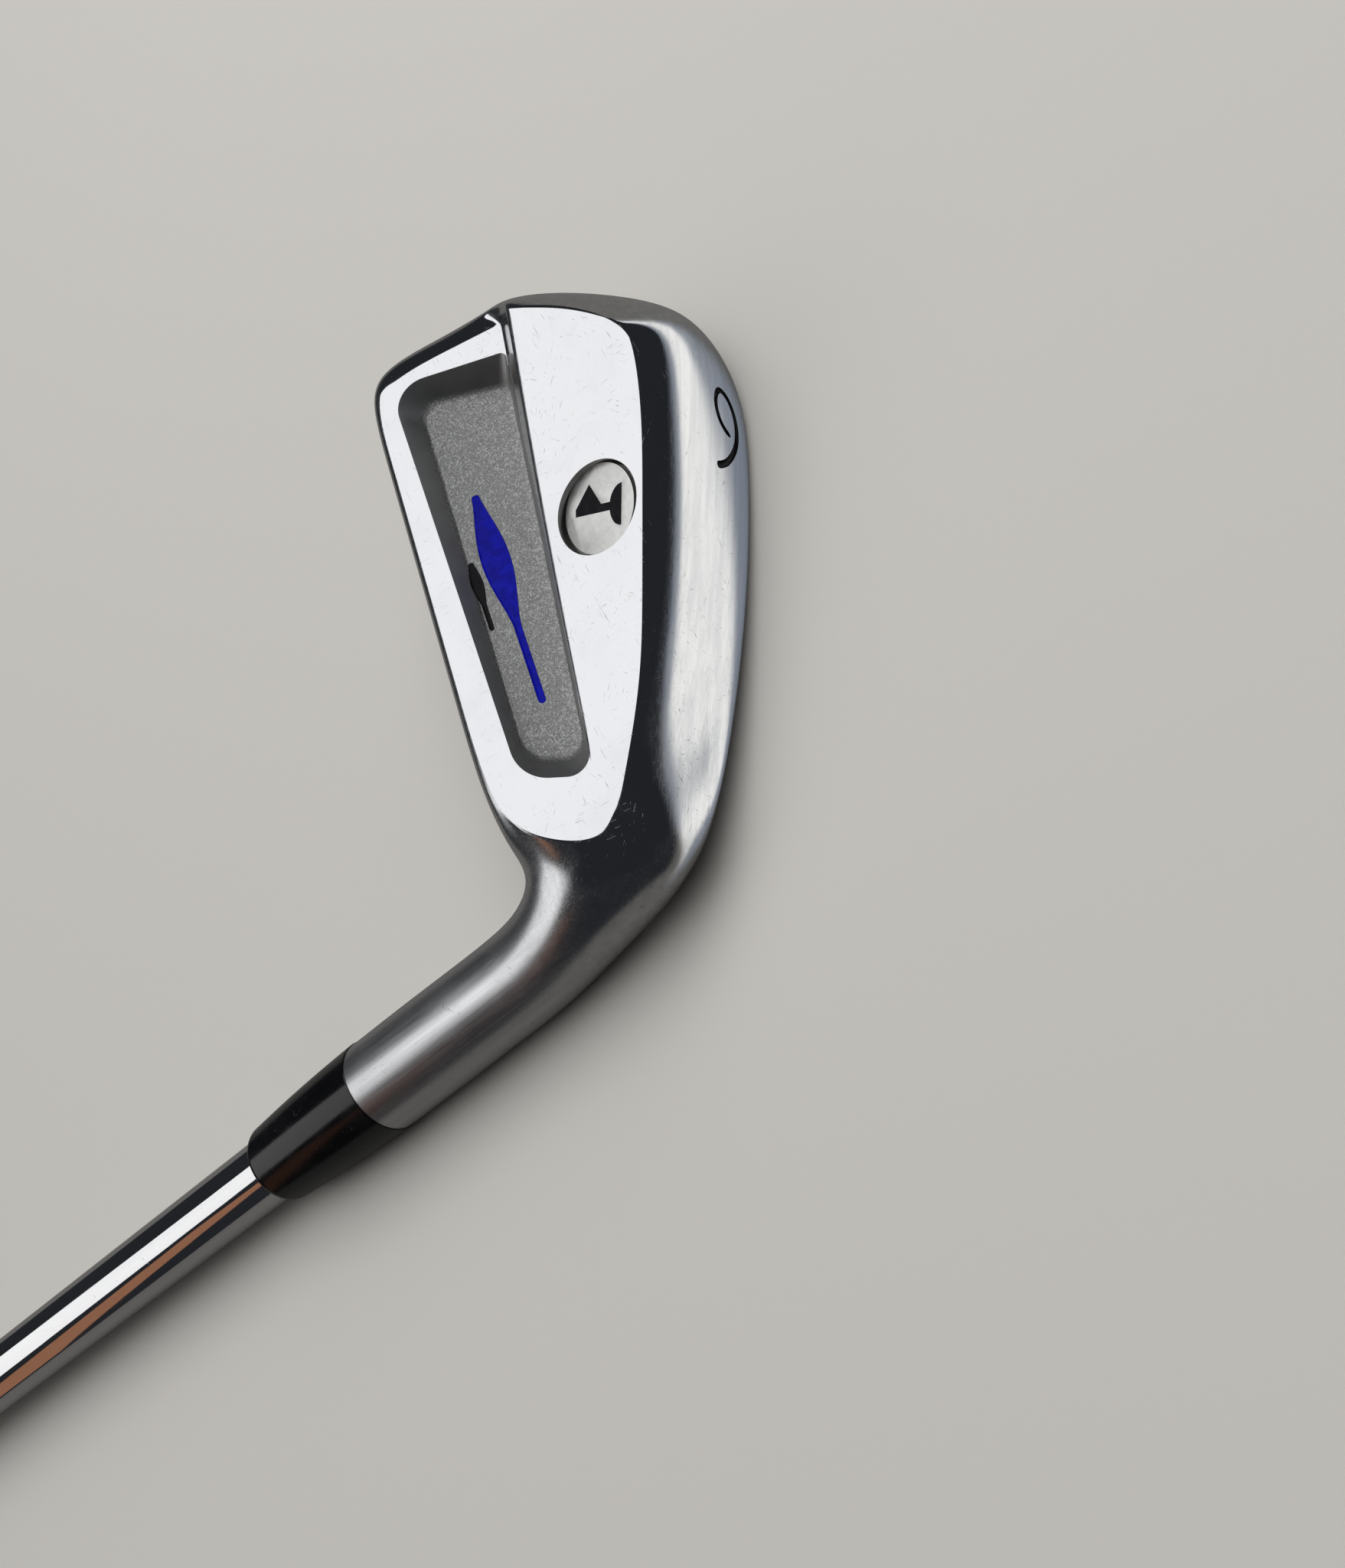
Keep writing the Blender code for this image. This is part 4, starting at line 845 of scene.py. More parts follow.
def numeral_tool():
    """A round-nosed cutter's path along the stroke, laid on the sole's surface."""
    outwards = Vector((1.0, 0.0, 0.0)).cross(TOWARDS_BACK)
    outwards = -outwards if outwards.y > 0.0 else outwards
    line = []
    steps = 5
    lift = 5.0 * MM
    for i in range((len(NUMERAL_STROKE) - 1) * steps + 1):
        toe, rear = stroke_point(i // steps, i % steps / steps) * MM
        above = NUMERAL_MIDDLE + Vector((toe, 0.0, 0.0)) + TOWARDS_BACK * rear + outwards * lift
        hit, where, _, _ = head.ray_cast(above, -outwards)
        line.append(where if hit else above - outwards * lift)
    rings = []
    last = len(line) - 1
    for i, here in enumerate(line):
        along = (line[min(i + 1, last)] - line[max(i - 1, 0)]).normalized()
        side = along.cross(outwards).normalized()
        end = min(i, last - i, 3) / 3.0
        pressure = 0.72 + 0.28 * i / last
        half = NUMERAL_HALF * (0.35 + 0.65 * math.sin(end * math.pi / 2.0)) * pressure
        rings.append([here + side * (half * math.cos(turn)) + outwards * (half * math.sin(turn))
                      for turn in (math.pi * k / 8.0 for k in range(16))])
    return loft("numeral_tool", rings)


carve(head, numeral_tool(), black_enamel)

head.data.transform(HEAD)
select_only(head)
bpy.ops.object.shade_smooth_by_angle(angle=math.radians(32.0))
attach(head, "root")
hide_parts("head")

# ---------------------------------------------------------------------------------------------
# Enamel fillings of the pocket's floor: thick stoved paint, level with the floor and slightly
# hollow from shrinking, a deep blue one and a black one.
blue_enamel = make_paint("blue_enamel", (0.0015, 0.002, 0.2), (0.003, 0.005, 0.3), 0.16)
ENAMEL_SHRINK = 0.03 * MM
ENAMEL_FOOT = POCKET_FLOOR - DROP_DEPTH + 0.05 * MM
ENAMEL_TOP = POCKET_FLOOR - 0.04 * MM


def fill_drop(name, node, finish):
    """The filling of one recess: a skin that dishes towards its middle."""
    rings = []
    for shrink, level in ((0.0, ENAMEL_FOOT), (0.0, ENAMEL_TOP),
                          (0.05 * MM, ENAMEL_TOP + 0.02 * MM), (0.16 * MM, ENAMEL_TOP - 0.02 * MM),
                          (0.3 * MM, ENAMEL_TOP - 0.05 * MM)):
        outline = drop_outline(name, ENAMEL_SHRINK + shrink)
        rings.append([Vector((p.x, p.y, level)) for p in outline])
    piece = loft(name, rings)
    piece.data.transform(HEAD)
    piece.data.materials.append(finish)
    bpy.ops.object.shade_smooth_by_angle(angle=math.radians(40.0))
    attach(piece, "root")
    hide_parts(node)


fill_drop("blue_drop", "cavity_stripe", blue_enamel)
fill_drop("black_drop", "cavity_mark", black_enamel)

# ---------------------------------------------------------------------------------------------
# The badge: a coined nickel oval with a polished edge, glued into its seat. Its mark, a plain
# pennant on a pole, is sunk and filled with black enamel.
BADGE_EDGE = 0.05 * MM


def make_nickel():
    """Tumbled nickel: satin, with cloudy patches and small dents."""
    mat, tree, shader = new_finish("badge_nickel", 0.3, 1.0)
    here = place_vector(tree, BADGE_IN_MODEL)
    cloud = noise(tree, here, 0.9, 5.0, 0.65)
    dents = add(tree, "ShaderNodeTexVoronoi", {"Vector": here, "Scale": 1.6}, feature="F1")
    pits = span(tree, dents.outputs["Distance"], 0.16, 0.05)
    marks = hairlines(tree, here, 1.0)
    tint = blend(tree, span(tree, cloud, 0.35, 0.68), (0.58, 0.575, 0.56), (0.68, 0.675, 0.655))
    tint = blend(tree, sums(tree, "MULTIPLY", marks, 0.4), tint, (0.2, 0.2, 0.19))
    rough = sums(tree, "MULTIPLY_ADD", cloud, 0.12, 0.38)
    height = sums(tree, "SUBTRACT", noise(tree, here, 2.5, 4.0), sums(tree, "MULTIPLY", pits, 0.4))
    feed(tree, shader, Base_Color=tint, Roughness=rough)
    bump(tree, shader, height, 0.3, 0.000012)
    return mat


BADGE_IN_MODEL = HEAD @ BADGE
nickel = make_nickel()
half_length, half_width = BADGE_LENGTH / 2.0, BADGE_WIDTH / 2.0
bpy.ops.object.select_all(action="DESELECT")
bpy.ops.mesh.primitive_circle_add(vertices=160, radius=1.0, fill_type="NGON")
badge = bpy.context.object
badge.name = "badge_disc"
bpy.ops.object.mode_set(mode="EDIT")
bpy.ops.transform.resize(value=(half_length, half_width, 1.0))
bpy.ops.mesh.extrude_region_move(TRANSFORM_OT_translate={"value": (0.0, 0.0, BADGE_THICKNESS)})
bpy.ops.mesh.select_all(action="SELECT")
bpy.ops.mesh.normals_make_consistent(inside=False)
bpy.ops.object.mode_set(mode="OBJECT")
badge.data.transform(Matrix.Translation((0.0, 0.0, -BADGE_THICKNESS)))


MARK_DEPTH = 0.22 * MM
MOUND_REACH, MOUND_FOOT, MOUND_RISE = 2.6, -3.2, 1.7
pole = [(-0.5, -3.0), (0.5, -3.0), (0.5, 3.5), (-0.5, 3.5)]
pennant = [(0.4, -0.3), (3.3, 1.6), (0.4, 3.5)]
mound = [(MOUND_REACH * math.cos(math.pi * i / 24.0),
          MOUND_FOOT + MOUND_RISE * math.sin(math.pi * i / 24.0)) for i in range(25)]


def mark_piece(name, low, high, shrink):
    """The mark's three shapes as one solid, turned to stand upright on the badge."""
    parts = []
    for outline in (pole, pennant, mound):
        middle = sum((Vector(p) for p in outline), Vector((0.0, 0.0))) / len(outline)
        drawn = [(Vector(p) - middle) * (1.0 - shrink) + middle for p in outline]
        parts.append(loft(name, [[Vector((p.x * MM, p.y * MM, z)) for p in drawn]
                                 for z in (low, high)]))
    base = parts[0]
    for other in parts[1:]:
        combine(base, other, "UNION")
    base.name = name
    return base


badge.data.materials.append(nickel)
carve(badge, mark_piece("mark_tool", -MARK_DEPTH, 0.5 * MM, 0.0), nickel)
select_only(badge)
edge = badge.modifiers.new("edge", "BEVEL")
edge.width = BADGE_EDGE
edge.segments = 3
edge.limit_method = "ANGLE"
edge.angle_limit = math.radians(50.0)
apply_modifiers(badge)
badge.data.transform(BADGE_IN_MODEL)
bpy.ops.object.shade_smooth_by_angle(angle=math.radians(40.0))
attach(badge, "root")
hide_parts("badge")

mark = mark_piece("badge_mark", -MARK_DEPTH + 0.01 * MM, -0.03 * MM, 0.03)
mark.data.transform(BADGE_IN_MODEL)
mark.data.materials.append(black_enamel)
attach(mark, "root")

# ---------------------------------------------------------------------------------------------
# The ferrule: a moulded plastic collar pushed down the shaft onto the hosel, then turned flush
# with it and wiped with solvent until it shines.
FERRULE_LENGTH = 21.5 * MM
FERRULE_END_OD = 11.5 * MM
FERRULE_BELLY = 0.18 * MM
FERRULE_LIP = 1.2 * MM
SHAFT_TIP_OD = 9.4 * MM


def spun(name, profile, closed=True, segments=128):
    """A turned piece about the shaft axis, from (radius, height) points."""
    count = len(profile)
    edges = [(i, i + 1) for i in range(count - 1)] + ([(count - 1, 0)] if closed else [])
    piece = new_piece(name, [(radius, 0.0, height) for radius, height in profile], [], edges)
    bpy.ops.object.mode_set(mode="EDIT")
    bpy.ops.mesh.select_all(action="SELECT")
    bpy.ops.mesh.spin(steps=segments, angle=2.0 * math.pi, center=(0.0, 0.0, 0.0),
                      axis=(0.0, 0.0, 1.0))
    bpy.ops.mesh.select_all(action="SELECT")
    bpy.ops.mesh.remove_doubles(threshold=0.000002)
    bpy.ops.mesh.normals_make_consistent(inside=False)
    bpy.ops.object.mode_set(mode="OBJECT")
    return piece


def eased(part):
    return part * part * (3.0 - 2.0 * part)


def rounded_end(radius, height, inwards, down):
    """A quarter round from the side up to the end, as points of a turned profile."""
    turns = [math.radians(11.25 * i) for i in range(9)]
    return [(radius - inwards * (1.0 - math.cos(turn)), height - down * (1.0 - math.sin(turn)))
            for turn in turns]


def settle_on_shaft(piece, finish, node, angle=30.0):
    """Lays a turned piece on the shaft axis, in place of its plain CAD node."""
    piece.data.transform(AXIS)
    piece.data.materials.append(finish)
    select_only(piece)
    bpy.ops.object.shade_smooth_by_angle(angle=math.radians(angle))
    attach(piece, "root")
    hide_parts(node)


def make_ferrule_plastic():
    mat, tree, shader = new_finish("ferrule_black", 0.14)
    here = place_vector(tree, AXIS)
    marks, cloud = hairlines(tree, here, 0.9), smudges(tree, here, 5.0)
    tint = blend(tree, cloud, (0.002, 0.002, 0.0025), (0.004, 0.004, 0.0045))
    tint = blend(tree, sums(tree, "MULTIPLY", marks, 0.05), tint, (0.3, 0.3, 0.3))
    rough = sums(tree, "MULTIPLY_ADD", cloud, 0.06, 0.15)
    feed(tree, shader, Base_Color=tint, Roughness=sums(tree, "MULTIPLY_ADD", marks, 0.2, rough))
    shader.inputs["Specular IOR Level"].default_value = 0.4
    bump(tree, shader, noise(tree, here, 0.5, 2.0), 0.1, 0.00002)
    return mat


low = HOSEL_TOP + 0.02 * MM
high = low + FERRULE_LENGTH
bore = SHAFT_TIP_OD / 2.0 + 0.04 * MM
base, end = HOSEL_OD / 2.0, FERRULE_END_OD / 2.0
profile = [(bore, low), (base - 0.06 * MM, low), (base, low + 0.08 * MM)]
for i in range(1, 12):
    part = i / 12.0
    profile.append((base + (end - base) * part + FERRULE_BELLY * math.sin(math.pi * part),
                    low + (FERRULE_LENGTH - FERRULE_LIP) * part))
profile += rounded_end(end, high, 1.0 * MM, FERRULE_LIP) + [(bore, high)]
settle_on_shaft(spun("ferrule_collar", profile), make_ferrule_plastic(), "ferrule")

# ---------------------------------------------------------------------------------------------
# The shaft: a seamless steel tube drawn down in fifteen steps, chrome plated and glued into the
# hosel. A foil label is wrapped round one of its lands, below the grip.
CLUB_LENGTH = 952.0 * MM
SHAFT_BUTT_OD = 15.24 * MM
SHAFT_TIP = HOSEL_TOP - BORE_DEPTH + 1.5 * MM
SHAFT_END = CLUB_LENGTH - 4.3 * MM
FIRST_STEP = 235.0 * MM
STEP_PITCH = 38.0 * MM
STEP_RUN = 1.6 * MM
STEP_COUNT = 15
TIP_WALL, BUTT_WALL = 0.8 * MM, 0.45 * MM


def make_chrome():
    """Bright plating, with drawing lines along the tube, wipe marks and a few nicks."""
    mat, tree, shader = new_finish("chrome", 0.05, 1.0)
    here = place_vector(tree, AXIS)
    lines = brushing(tree, mapped(tree, here, Rotation=LENGTHWAYS), 0.8)
    marks, cloud = hairlines(tree, here, 0.8), smudges(tree, here, 14.0)
    tint = blend(tree, lines["Bands"], (0.6, 0.6, 0.61), (0.7, 0.7, 0.7))
    tint = blend(tree, sums(tree, "MULTIPLY", marks, 0.4), tint, (0.2, 0.2, 0.2))
    rough = sums(tree, "MULTIPLY_ADD", cloud, 0.05, 0.035)
    rough = sums(tree, "MULTIPLY_ADD", marks, 0.2, rough)
    feed(tree, shader, Base_Color=tint, Roughness=rough)
    bump(tree, shader, lines["Value"], 0.25, 0.000004)
    return mat


def land_radius(step):
    return (SHAFT_TIP_OD + (SHAFT_BUTT_OD - SHAFT_TIP_OD) * step / STEP_COUNT) / 2.0


profile = [(land_radius(0) - 0.2 * MM, SHAFT_TIP), (land_radius(0), SHAFT_TIP + 0.3 * MM)]
for step in range(STEP_COUNT):
    height = SHAFT_TIP + FIRST_STEP + STEP_PITCH * step
    for i in range(5):
        part = i / 4.0
        profile.append((land_radius(step + eased(part)), height - STEP_RUN * (1.0 - part)))
profile.append((land_radius(STEP_COUNT), SHAFT_END))
tip_bore, butt_bore = SHAFT_TIP_OD / 2.0 - TIP_WALL, SHAFT_BUTT_OD / 2.0 - BUTT_WALL
profile += [(butt_bore, SHAFT_END), (butt_bore, SHAFT_TIP + FIRST_STEP + STEP_PITCH * STEP_COUNT),
            (tip_bore, SHAFT_TIP + FIRST_STEP - STEP_PITCH), (tip_bore, SHAFT_TIP)]
chrome = make_chrome()
settle_on_shaft(spun("stepped_shaft", profile), chrome, "shaft")


def make_label_foil():
    """Silver foil with two navy rings printed near its ends, and a fine hatching between."""
    mat, tree, shader = new_finish("label", 0.25)
    here = place_vector(tree, AXIS)
    height = add(tree, "ShaderNodeSeparateXYZ", {0: here}).outputs["Z"]
    from_low = sums(tree, "SUBTRACT", height, LABEL_LOW / MM)
    length = (LABEL_HIGH - LABEL_LOW) / MM
    rings = None
    for start, width in ((2.0, 3.0), (6.2, 0.8), (length - 5.0, 3.0), (length - 7.0, 0.8)):
        ring = sums(tree, "COMPARE", from_low, start + width / 2.0, width / 2.0)
        rings = ring if rings is None else sums(tree, "MAXIMUM", rings, ring)
    hatch = add(tree, "ShaderNodeTexWave", {"Vector": here, "Scale": 0.55, "Distortion": 0.0},
                bands_direction="Z").outputs["Fac"]
    foil = blend(tree, sums(tree, "MULTIPLY", hatch, 0.35), (0.6, 0.6, 0.61), (0.38, 0.39, 0.42))
    worn = span(tree, noise(tree, here, 0.7, 5.0, 0.7), 0.6, 0.68)
    left = sums(tree, "SUBTRACT", 1.0, sums(tree, "MULTIPLY", worn, 0.6))
    ink = sums(tree, "MULTIPLY", rings, left)
    feed(tree, shader, Base_Color=blend(tree, ink, foil, (0.01, 0.02, 0.12)),
         Roughness=sums(tree, "MULTIPLY_ADD", worn, 0.25, 0.2),
         Metallic=sums(tree, "SUBTRACT", 0.9, sums(tree, "MULTIPLY", ink, 0.9)))
    bump(tree, shader, noise(tree, here, 1.4, 3.0), 0.2, 0.00002)
    return mat


label_box = [AXIS.inverted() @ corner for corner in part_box("shaft_label")]
LABEL_LOW = label_box[0].z + 0.3 * MM
LABEL_HIGH = label_box[1].z - 0.3 * MM
label_step = math.floor((LABEL_HIGH - SHAFT_TIP - FIRST_STEP) / STEP_PITCH) + 1
inside = land_radius(label_step) + 0.04 * MM
outside = inside + 0.12 * MM
profile = [(inside, LABEL_LOW), (outside - 0.03 * MM, LABEL_LOW), (outside, LABEL_LOW + 0.05 * MM),
           (outside, LABEL_HIGH - 0.05 * MM), (outside - 0.03 * MM, LABEL_HIGH),
           (inside, LABEL_HIGH)]
settle_on_shaft(spun("foil_label", profile), make_label_foil(), "shaft_label")

# ---------------------------------------------------------------------------------------------
# The grip: a moulded rubber sleeve slid over wet tape on the shaft's butt. It swells towards a
# bead at its end, and rows of short moulded cuts round it give the hands hold.
GRIP_LENGTH = 267.0 * MM
GRIP_MOUTH_OD = 18.6 * MM
GRIP_BUTT_OD = 27.0 * MM
GRIP_BEAD_OD = 30.5 * MM
GRIP_BEAD_LENGTH = 9.0 * MM
CUT_DEPTH = 0.45 * MM
CUT_PITCH = 5.0 * MM
CUT_ROWS = 14
CAP_SEAT_RADIUS = 10.0 * MM
CAP_SEAT_DEPTH = 2.0 * MM
VENT_RADIUS = 1.3 * MM
GRIP_END_WALL = 4.0 * MM


def make_rubber():
    """Black rubber: chalky where the hands wear it, with a fine moulded grain."""
    mat, tree, shader = new_finish("grip_rubber", 0.7)
    here = place_vector(tree, AXIS)
    cloud = smudges(tree, here, 16.0)
    fine = noise(tree, here, 2.2, 5.0, 0.7)
    dust = span(tree, noise(tree, here, 4.0, 3.0), 0.6, 0.72)
    tint = blend(tree, cloud, (0.014, 0.014, 0.014), (0.035, 0.034, 0.033))
    tint = blend(tree, sums(tree, "MULTIPLY", dust, 0.2), tint, (0.16, 0.155, 0.15))
    feed(tree, shader, Base_Color=tint, Roughness=sums(tree, "MULTIPLY_ADD", cloud, -0.2, 0.78))
    bump(tree, shader, fine, 0.5, 0.00012)
    return mat


def grip_radius(height):
    """Outer radius of the grip's body at a height on the shaft axis."""
    start = CLUB_LENGTH - GRIP_LENGTH
    stations = ((start, GRIP_MOUTH_OD / 2.0), (start + 60.0 * MM, GRIP_MOUTH_OD / 2.0 + 0.7 * MM),
                (CLUB_LENGTH - 90.0 * MM, GRIP_BUTT_OD / 2.0 - 1.2 * MM),
                (CLUB_LENGTH - 15.0 * MM, GRIP_BUTT_OD / 2.0))
    for (low_z, low_r), (high_z, high_r) in zip(stations, stations[1:]):
        if height <= high_z:
            part = (height - low_z) / (high_z - low_z)
            return low_r + (high_r - low_r) * part
    return stations[-1][1]


mouth = CLUB_LENGTH - GRIP_LENGTH
grip_bore = SHAFT_BUTT_OD / 2.0 + 0.42 * MM
bead_low = CLUB_LENGTH - GRIP_BEAD_LENGTH
pattern_low, pattern_high = mouth + 12.0 * MM, CLUB_LENGTH - 30.0 * MM
profile = [(grip_bore, mouth), (GRIP_MOUTH_OD / 2.0 - 0.5 * MM, mouth),
           (GRIP_MOUTH_OD / 2.0 - 0.15 * MM, mouth + 0.4 * MM),
           (GRIP_MOUTH_OD / 2.0, mouth + 1.0 * MM)]
rings = 420
for i in range(rings + 1):
    height = mouth + 2.0 * MM + (bead_low - 6.0 * MM - mouth - 2.0 * MM) * i / rings
    profile.append((grip_radius(height), height))
for i in range(1, 9):
    part = i / 8.0
    profile.append((GRIP_BUTT_OD / 2.0 + (GRIP_BEAD_OD - GRIP_BUTT_OD) / 2.0 * eased(part),
                    bead_low - 6.0 * MM + 8.5 * MM * part))
profile += rounded_end(GRIP_BEAD_OD / 2.0, CLUB_LENGTH, 2.3 * MM, 2.5 * MM)
seat_low, inside_end = CLUB_LENGTH - CAP_SEAT_DEPTH, CLUB_LENGTH - GRIP_END_WALL
profile += [(CAP_SEAT_RADIUS, CLUB_LENGTH), (CAP_SEAT_RADIUS, seat_low), (VENT_RADIUS, seat_low),
            (VENT_RADIUS, inside_end), (grip_bore, inside_end)]
grip = spun("rubber_grip", profile, segments=168)
for vert in grip.data.vertices:
    radius = math.hypot(vert.co.x, vert.co.y)
    if radius < grip_bore + 0.5 * MM or not pattern_low < vert.co.z < pattern_high:
        continue
    row = round((vert.co.z - pattern_low) / CUT_PITCH)
    across = abs(vert.co.z - pattern_low - row * CUT_PITCH) / (0.9 * MM)
    turn = math.atan2(vert.co.y, vert.co.x) / (2.0 * math.pi) * CUT_ROWS + 0.5 * (row % 2)
    side = abs(turn - round(turn)) / 0.3
    depth = CUT_DEPTH * max(0.0, 1.0 - across ** 2) * max(0.0, 1.0 - side ** 6)
    vert.co.x *= 1.0 - depth / radius
    vert.co.y *= 1.0 - depth / radius
rubber = make_rubber()
settle_on_shaft(grip, rubber, "grip", 50.0)

# The cap is a separate grey insert in the grip's end, with a vent hole that lets air out when
# the grip is slid on.


def make_cap_plastic():
    mat, tree, shader = new_finish("cap_grey", 0.5)
    here = place_vector(tree, AXIS)
    marks, cloud = hairlines(tree, here, 1.0), smudges(tree, here, 6.0)
    grain = noise(tree, here, 3.0, 4.0, 0.7)
    tint = blend(tree, cloud, (0.2, 0.2, 0.205), (0.27, 0.27, 0.275))
    tint = blend(tree, sums(tree, "MULTIPLY", marks, 0.5), tint, (0.42, 0.42, 0.42))
    feed(tree, shader, Base_Color=tint, Roughness=sums(tree, "MULTIPLY_ADD", cloud, 0.18, 0.42))
    bump(tree, shader, grain, 0.3, 0.00006)
    return mat


low, high = CLUB_LENGTH - 1.85 * MM, CLUB_LENGTH
profile = [(VENT_RADIUS, low), (9.85 * MM, low), (9.85 * MM, high - 0.35 * MM),
           (9.75 * MM, high - 0.1 * MM), (9.5 * MM, high), (7.2 * MM, high),
           (7.0 * MM, high - 0.25 * MM),
           (6.4 * MM, high - 0.25 * MM), (6.2 * MM, high), (1.7 * MM, high),
           (1.45 * MM, high - 0.08 * MM), (VENT_RADIUS, high - 0.3 * MM)]
settle_on_shaft(spun("grip_end_cap", profile, segments=96), make_cap_plastic(),
                "grip_cap")

# ---------------------------------------------------------------------------------------------
# What holds it together, out of sight: the cured epoxy in the hosel and under the badge, the
# brass weight pressed into the shaft's tip to bring the club to its swing weight, and the
# double-sided tape under the grip.


def make_hidden(name, dark, light, roughness, metallic, scale, depth):
    """A plain cloudy finish, with grain and a few marks."""
    mat, tree, shader = new_finish(name, roughness, metallic)
    here = place_vector(tree, AXIS)
    cloud = noise(tree, here, scale, 4.0, 0.6)
    grain = noise(tree, here, scale * 6.0, 3.0)
    marks = hairlines(tree, here, 0.8)
    tint = blend(tree, span(tree, cloud, 0.3, 0.7), dark, light)
    tint = blend(tree, sums(tree, "MULTIPLY", marks, 0.3), tint, dark)
    feed(tree, shader, Base_Color=tint, Roughness=sums(tree, "MULTIPLY_ADD", grain, 0.2, roughness))
    bump(tree, shader, grain, 0.4, depth)
    return mat


for node, name, dark, light, *look in (
        ("hosel_epoxy", "epoxy", (0.4, 0.34, 0.22), (0.6, 0.55, 0.42), 0.25, 0.0, 0.3, 0.00005),
        ("badge_glue", "glue", (0.25, 0.23, 0.19), (0.4, 0.38, 0.33), 0.35, 0.0, 0.5, 0.00005),
        ("tip_weight", "brass", (0.5, 0.36, 0.13), (0.75, 0.57, 0.26), 0.22, 1.0, 0.3, 0.00002),
        ("grip_tape", "tape", (0.55, 0.48, 0.33), (0.75, 0.69, 0.54), 0.6, 0.0, 0.2, 0.0001)):
    frame["nodes"][node].data.materials.clear()
    frame["nodes"][node].data.materials.append(make_hidden(name, dark, light, *look))

# ---------------------------------------------------------------------------------------------
# The studio: a pale plain floor that the club lies on, a large soft box over the head and a
# smaller one over the shaft, a warm strip to one side of it, and a soft sun for the floor. The
# floor also carries a painted reflection for the steel: glossy rays see it darker than it is, and
# beyond the sole they see it glow blue-grey, with a white painted streak a little way ahead.
FLOOR_TINT = (0.49, 0.474, 0.443)
FLOOR_MOTTLE = 0.015
PAINTED_REFLECTION_SHARE = 0.3            # painted reflection: the share of the floor's colour that glossy rays see, so the steel shows it darker
PAINTED_STREAK_NEAR = (-6.0, -9.5)   # painted reflection: near and far edges, in mm ahead of the sole, of a white glow on the floor that only glossy rays see
PAINTED_STREAK_FAR = (-70.0, -40.0)


def make_floor_with_painted_reflection():
    mat, tree, shader = new_finish("floor_paper_painted_reflection", 0.9)
    where = add(tree, "ShaderNodeTexCoord").outputs["Object"]
    cloud = noise(tree, where, 3.0, 3.0)
    fine = noise(tree, where, 900.0, 2.0)
    tint = blend(tree, cloud, tuple(c * (1.0 - FLOOR_MOTTLE) for c in FLOOR_TINT),
                 tuple(c * (1.0 + FLOOR_MOTTLE) for c in FLOOR_TINT))
    # Painted reflection: glossy rays see the floor darker than it is.
    glossy = add(tree, "ShaderNodeLightPath").outputs["Is Glossy Ray"]
    floor_or_dark_painted_reflection = blend(tree, glossy, tint, tuple(c * PAINTED_REFLECTION_SHARE for c in FLOOR_TINT))
    apart = add(tree, "ShaderNodeSeparateXYZ", {0: place_vector(tree, HEAD)})
    ahead = apart.outputs["Y"]
    # Painted reflection: beyond the sole the floor glows to glossy rays only, blue-grey near the
    # blade and white in a painted streak farther ahead.
    painted_streak = sums(tree, "MULTIPLY", span(tree, ahead, *PAINTED_STREAK_NEAR),
                span(tree, ahead, *PAINTED_STREAK_FAR))
    painted_glow_zone = sums(tree, "MULTIPLY", span(tree, apart.outputs["X"], -30.0, 0.0),
                  span(tree, ahead, 0.0, -4.0))
    feed(tree, shader, Base_Color=floor_or_dark_painted_reflection,
         Emission_Color=blend(tree, painted_streak, (0.16, 0.2, 0.27), (1.15, 1.15, 1.12)),
         Emission_Strength=sums(tree, "MULTIPLY", painted_glow_zone, glossy))
    bump(tree, shader, fine, 0.1, 0.0001)
    return mat


bpy.ops.object.select_all(action="DESELECT")
bpy.ops.mesh.primitive_plane_add(size=12.0, location=(0.0, 0.0, -0.3 * MM))
floor = bpy.context.object
floor.name = "floor"
floor.data.materials.append(make_floor_with_painted_reflection())

middle = HEAD @ (Vector((30.0, 20.0, 8.0)) * MM)


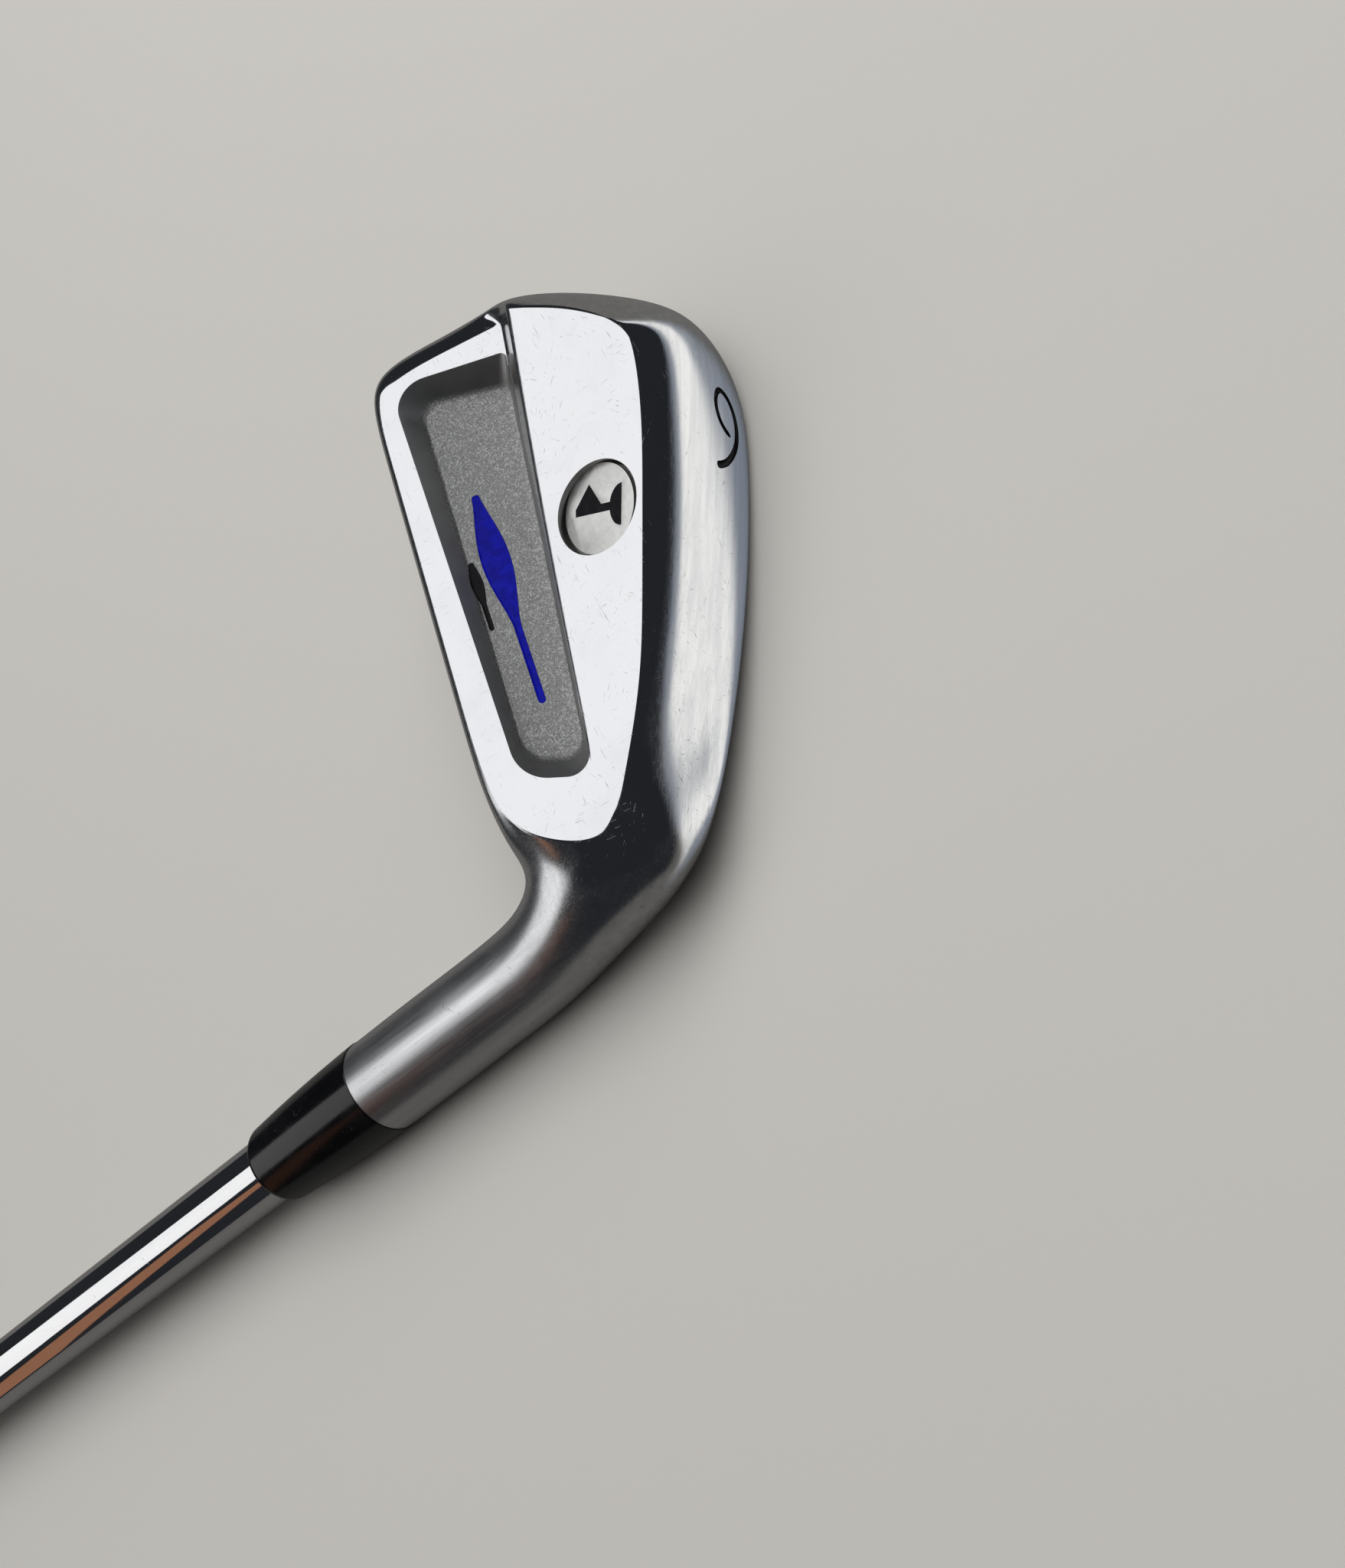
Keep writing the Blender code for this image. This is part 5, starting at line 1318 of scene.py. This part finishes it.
def soft_box(name, offset, size, watts, colour):
    """A rectangular light at an offset from the blade's middle, turned towards it."""
    bpy.ops.object.light_add(type="AREA", location=middle + Vector(offset))
    lamp = bpy.context.object
    lamp.name = name
    lamp.data.shape = "RECTANGLE"
    lamp.data.size, lamp.data.size_y = size
    lamp.data.energy = watts
    lamp.data.color = colour
    lamp.rotation_euler = (middle - lamp.location).to_track_quat("-Z", "Y").to_euler()
    return lamp


soft_box("overhead", (-0.115, -0.25, 1.0), (1.47, 1.4), 8.4, (0.985, 0.99, 1.0))
soft_box("shaft_box", (1.15, -0.055, 1.0), (0.93, 0.9), 3.4, (1.0, 1.0, 1.0))
soft_box("warm_strip", (1.3, 0.85, 0.55), (0.3, 1.0), 0.32, (1.0, 0.42, 0.2))
floor_light = soft_box("floor_light", (-0.3, -0.38, 0.36), (0.4, 0.4), 1.3, (1.0, 1.0, 1.0))
floor_light.visible_glossy = False

bpy.ops.object.light_add(type="SUN", location=(0.0, 0.0, 3.0), rotation=(0.2, -0.2, 0.0))
room_light = bpy.context.object
room_light.name = "room_light"
room_light.data.energy = 1.1
room_light.data.angle = 1.3
room_light.visible_glossy = False

world = bpy.data.worlds.new("room")
bpy.context.scene.world = world
world.use_nodes = True
seen = add(world.node_tree, "ShaderNodeLightPath").outputs["Is Camera Ray"]
walls = blend(world.node_tree, seen, (0.0225, 0.025, 0.029), (0.42, 0.41, 0.39))
world.node_tree.links.new(walls, world.node_tree.nodes["Background"].inputs["Color"])
bpy.context.scene.view_settings.view_transform = "Standard"

bpy.ops.object.camera_add()
camera = bpy.context.object
camera.name = "camera"
camera.data.sensor_fit = "VERTICAL"
camera.data.sensor_height = 36.0
camera.data.lens = 30.94
camera.data.clip_start = 0.005
right, back = Vector((0.004, -0.997, -0.082)), Vector((-0.277, -0.080, 0.958)).normalized()
up = back.cross(right).normalized()
view = Matrix((up.cross(back), up, back)).transposed().to_4x4()
camera.matrix_world = HEAD @ Matrix.Translation(Vector((-40.6, -4.5, 155.5)) * MM) @ view
bpy.context.scene.camera = camera
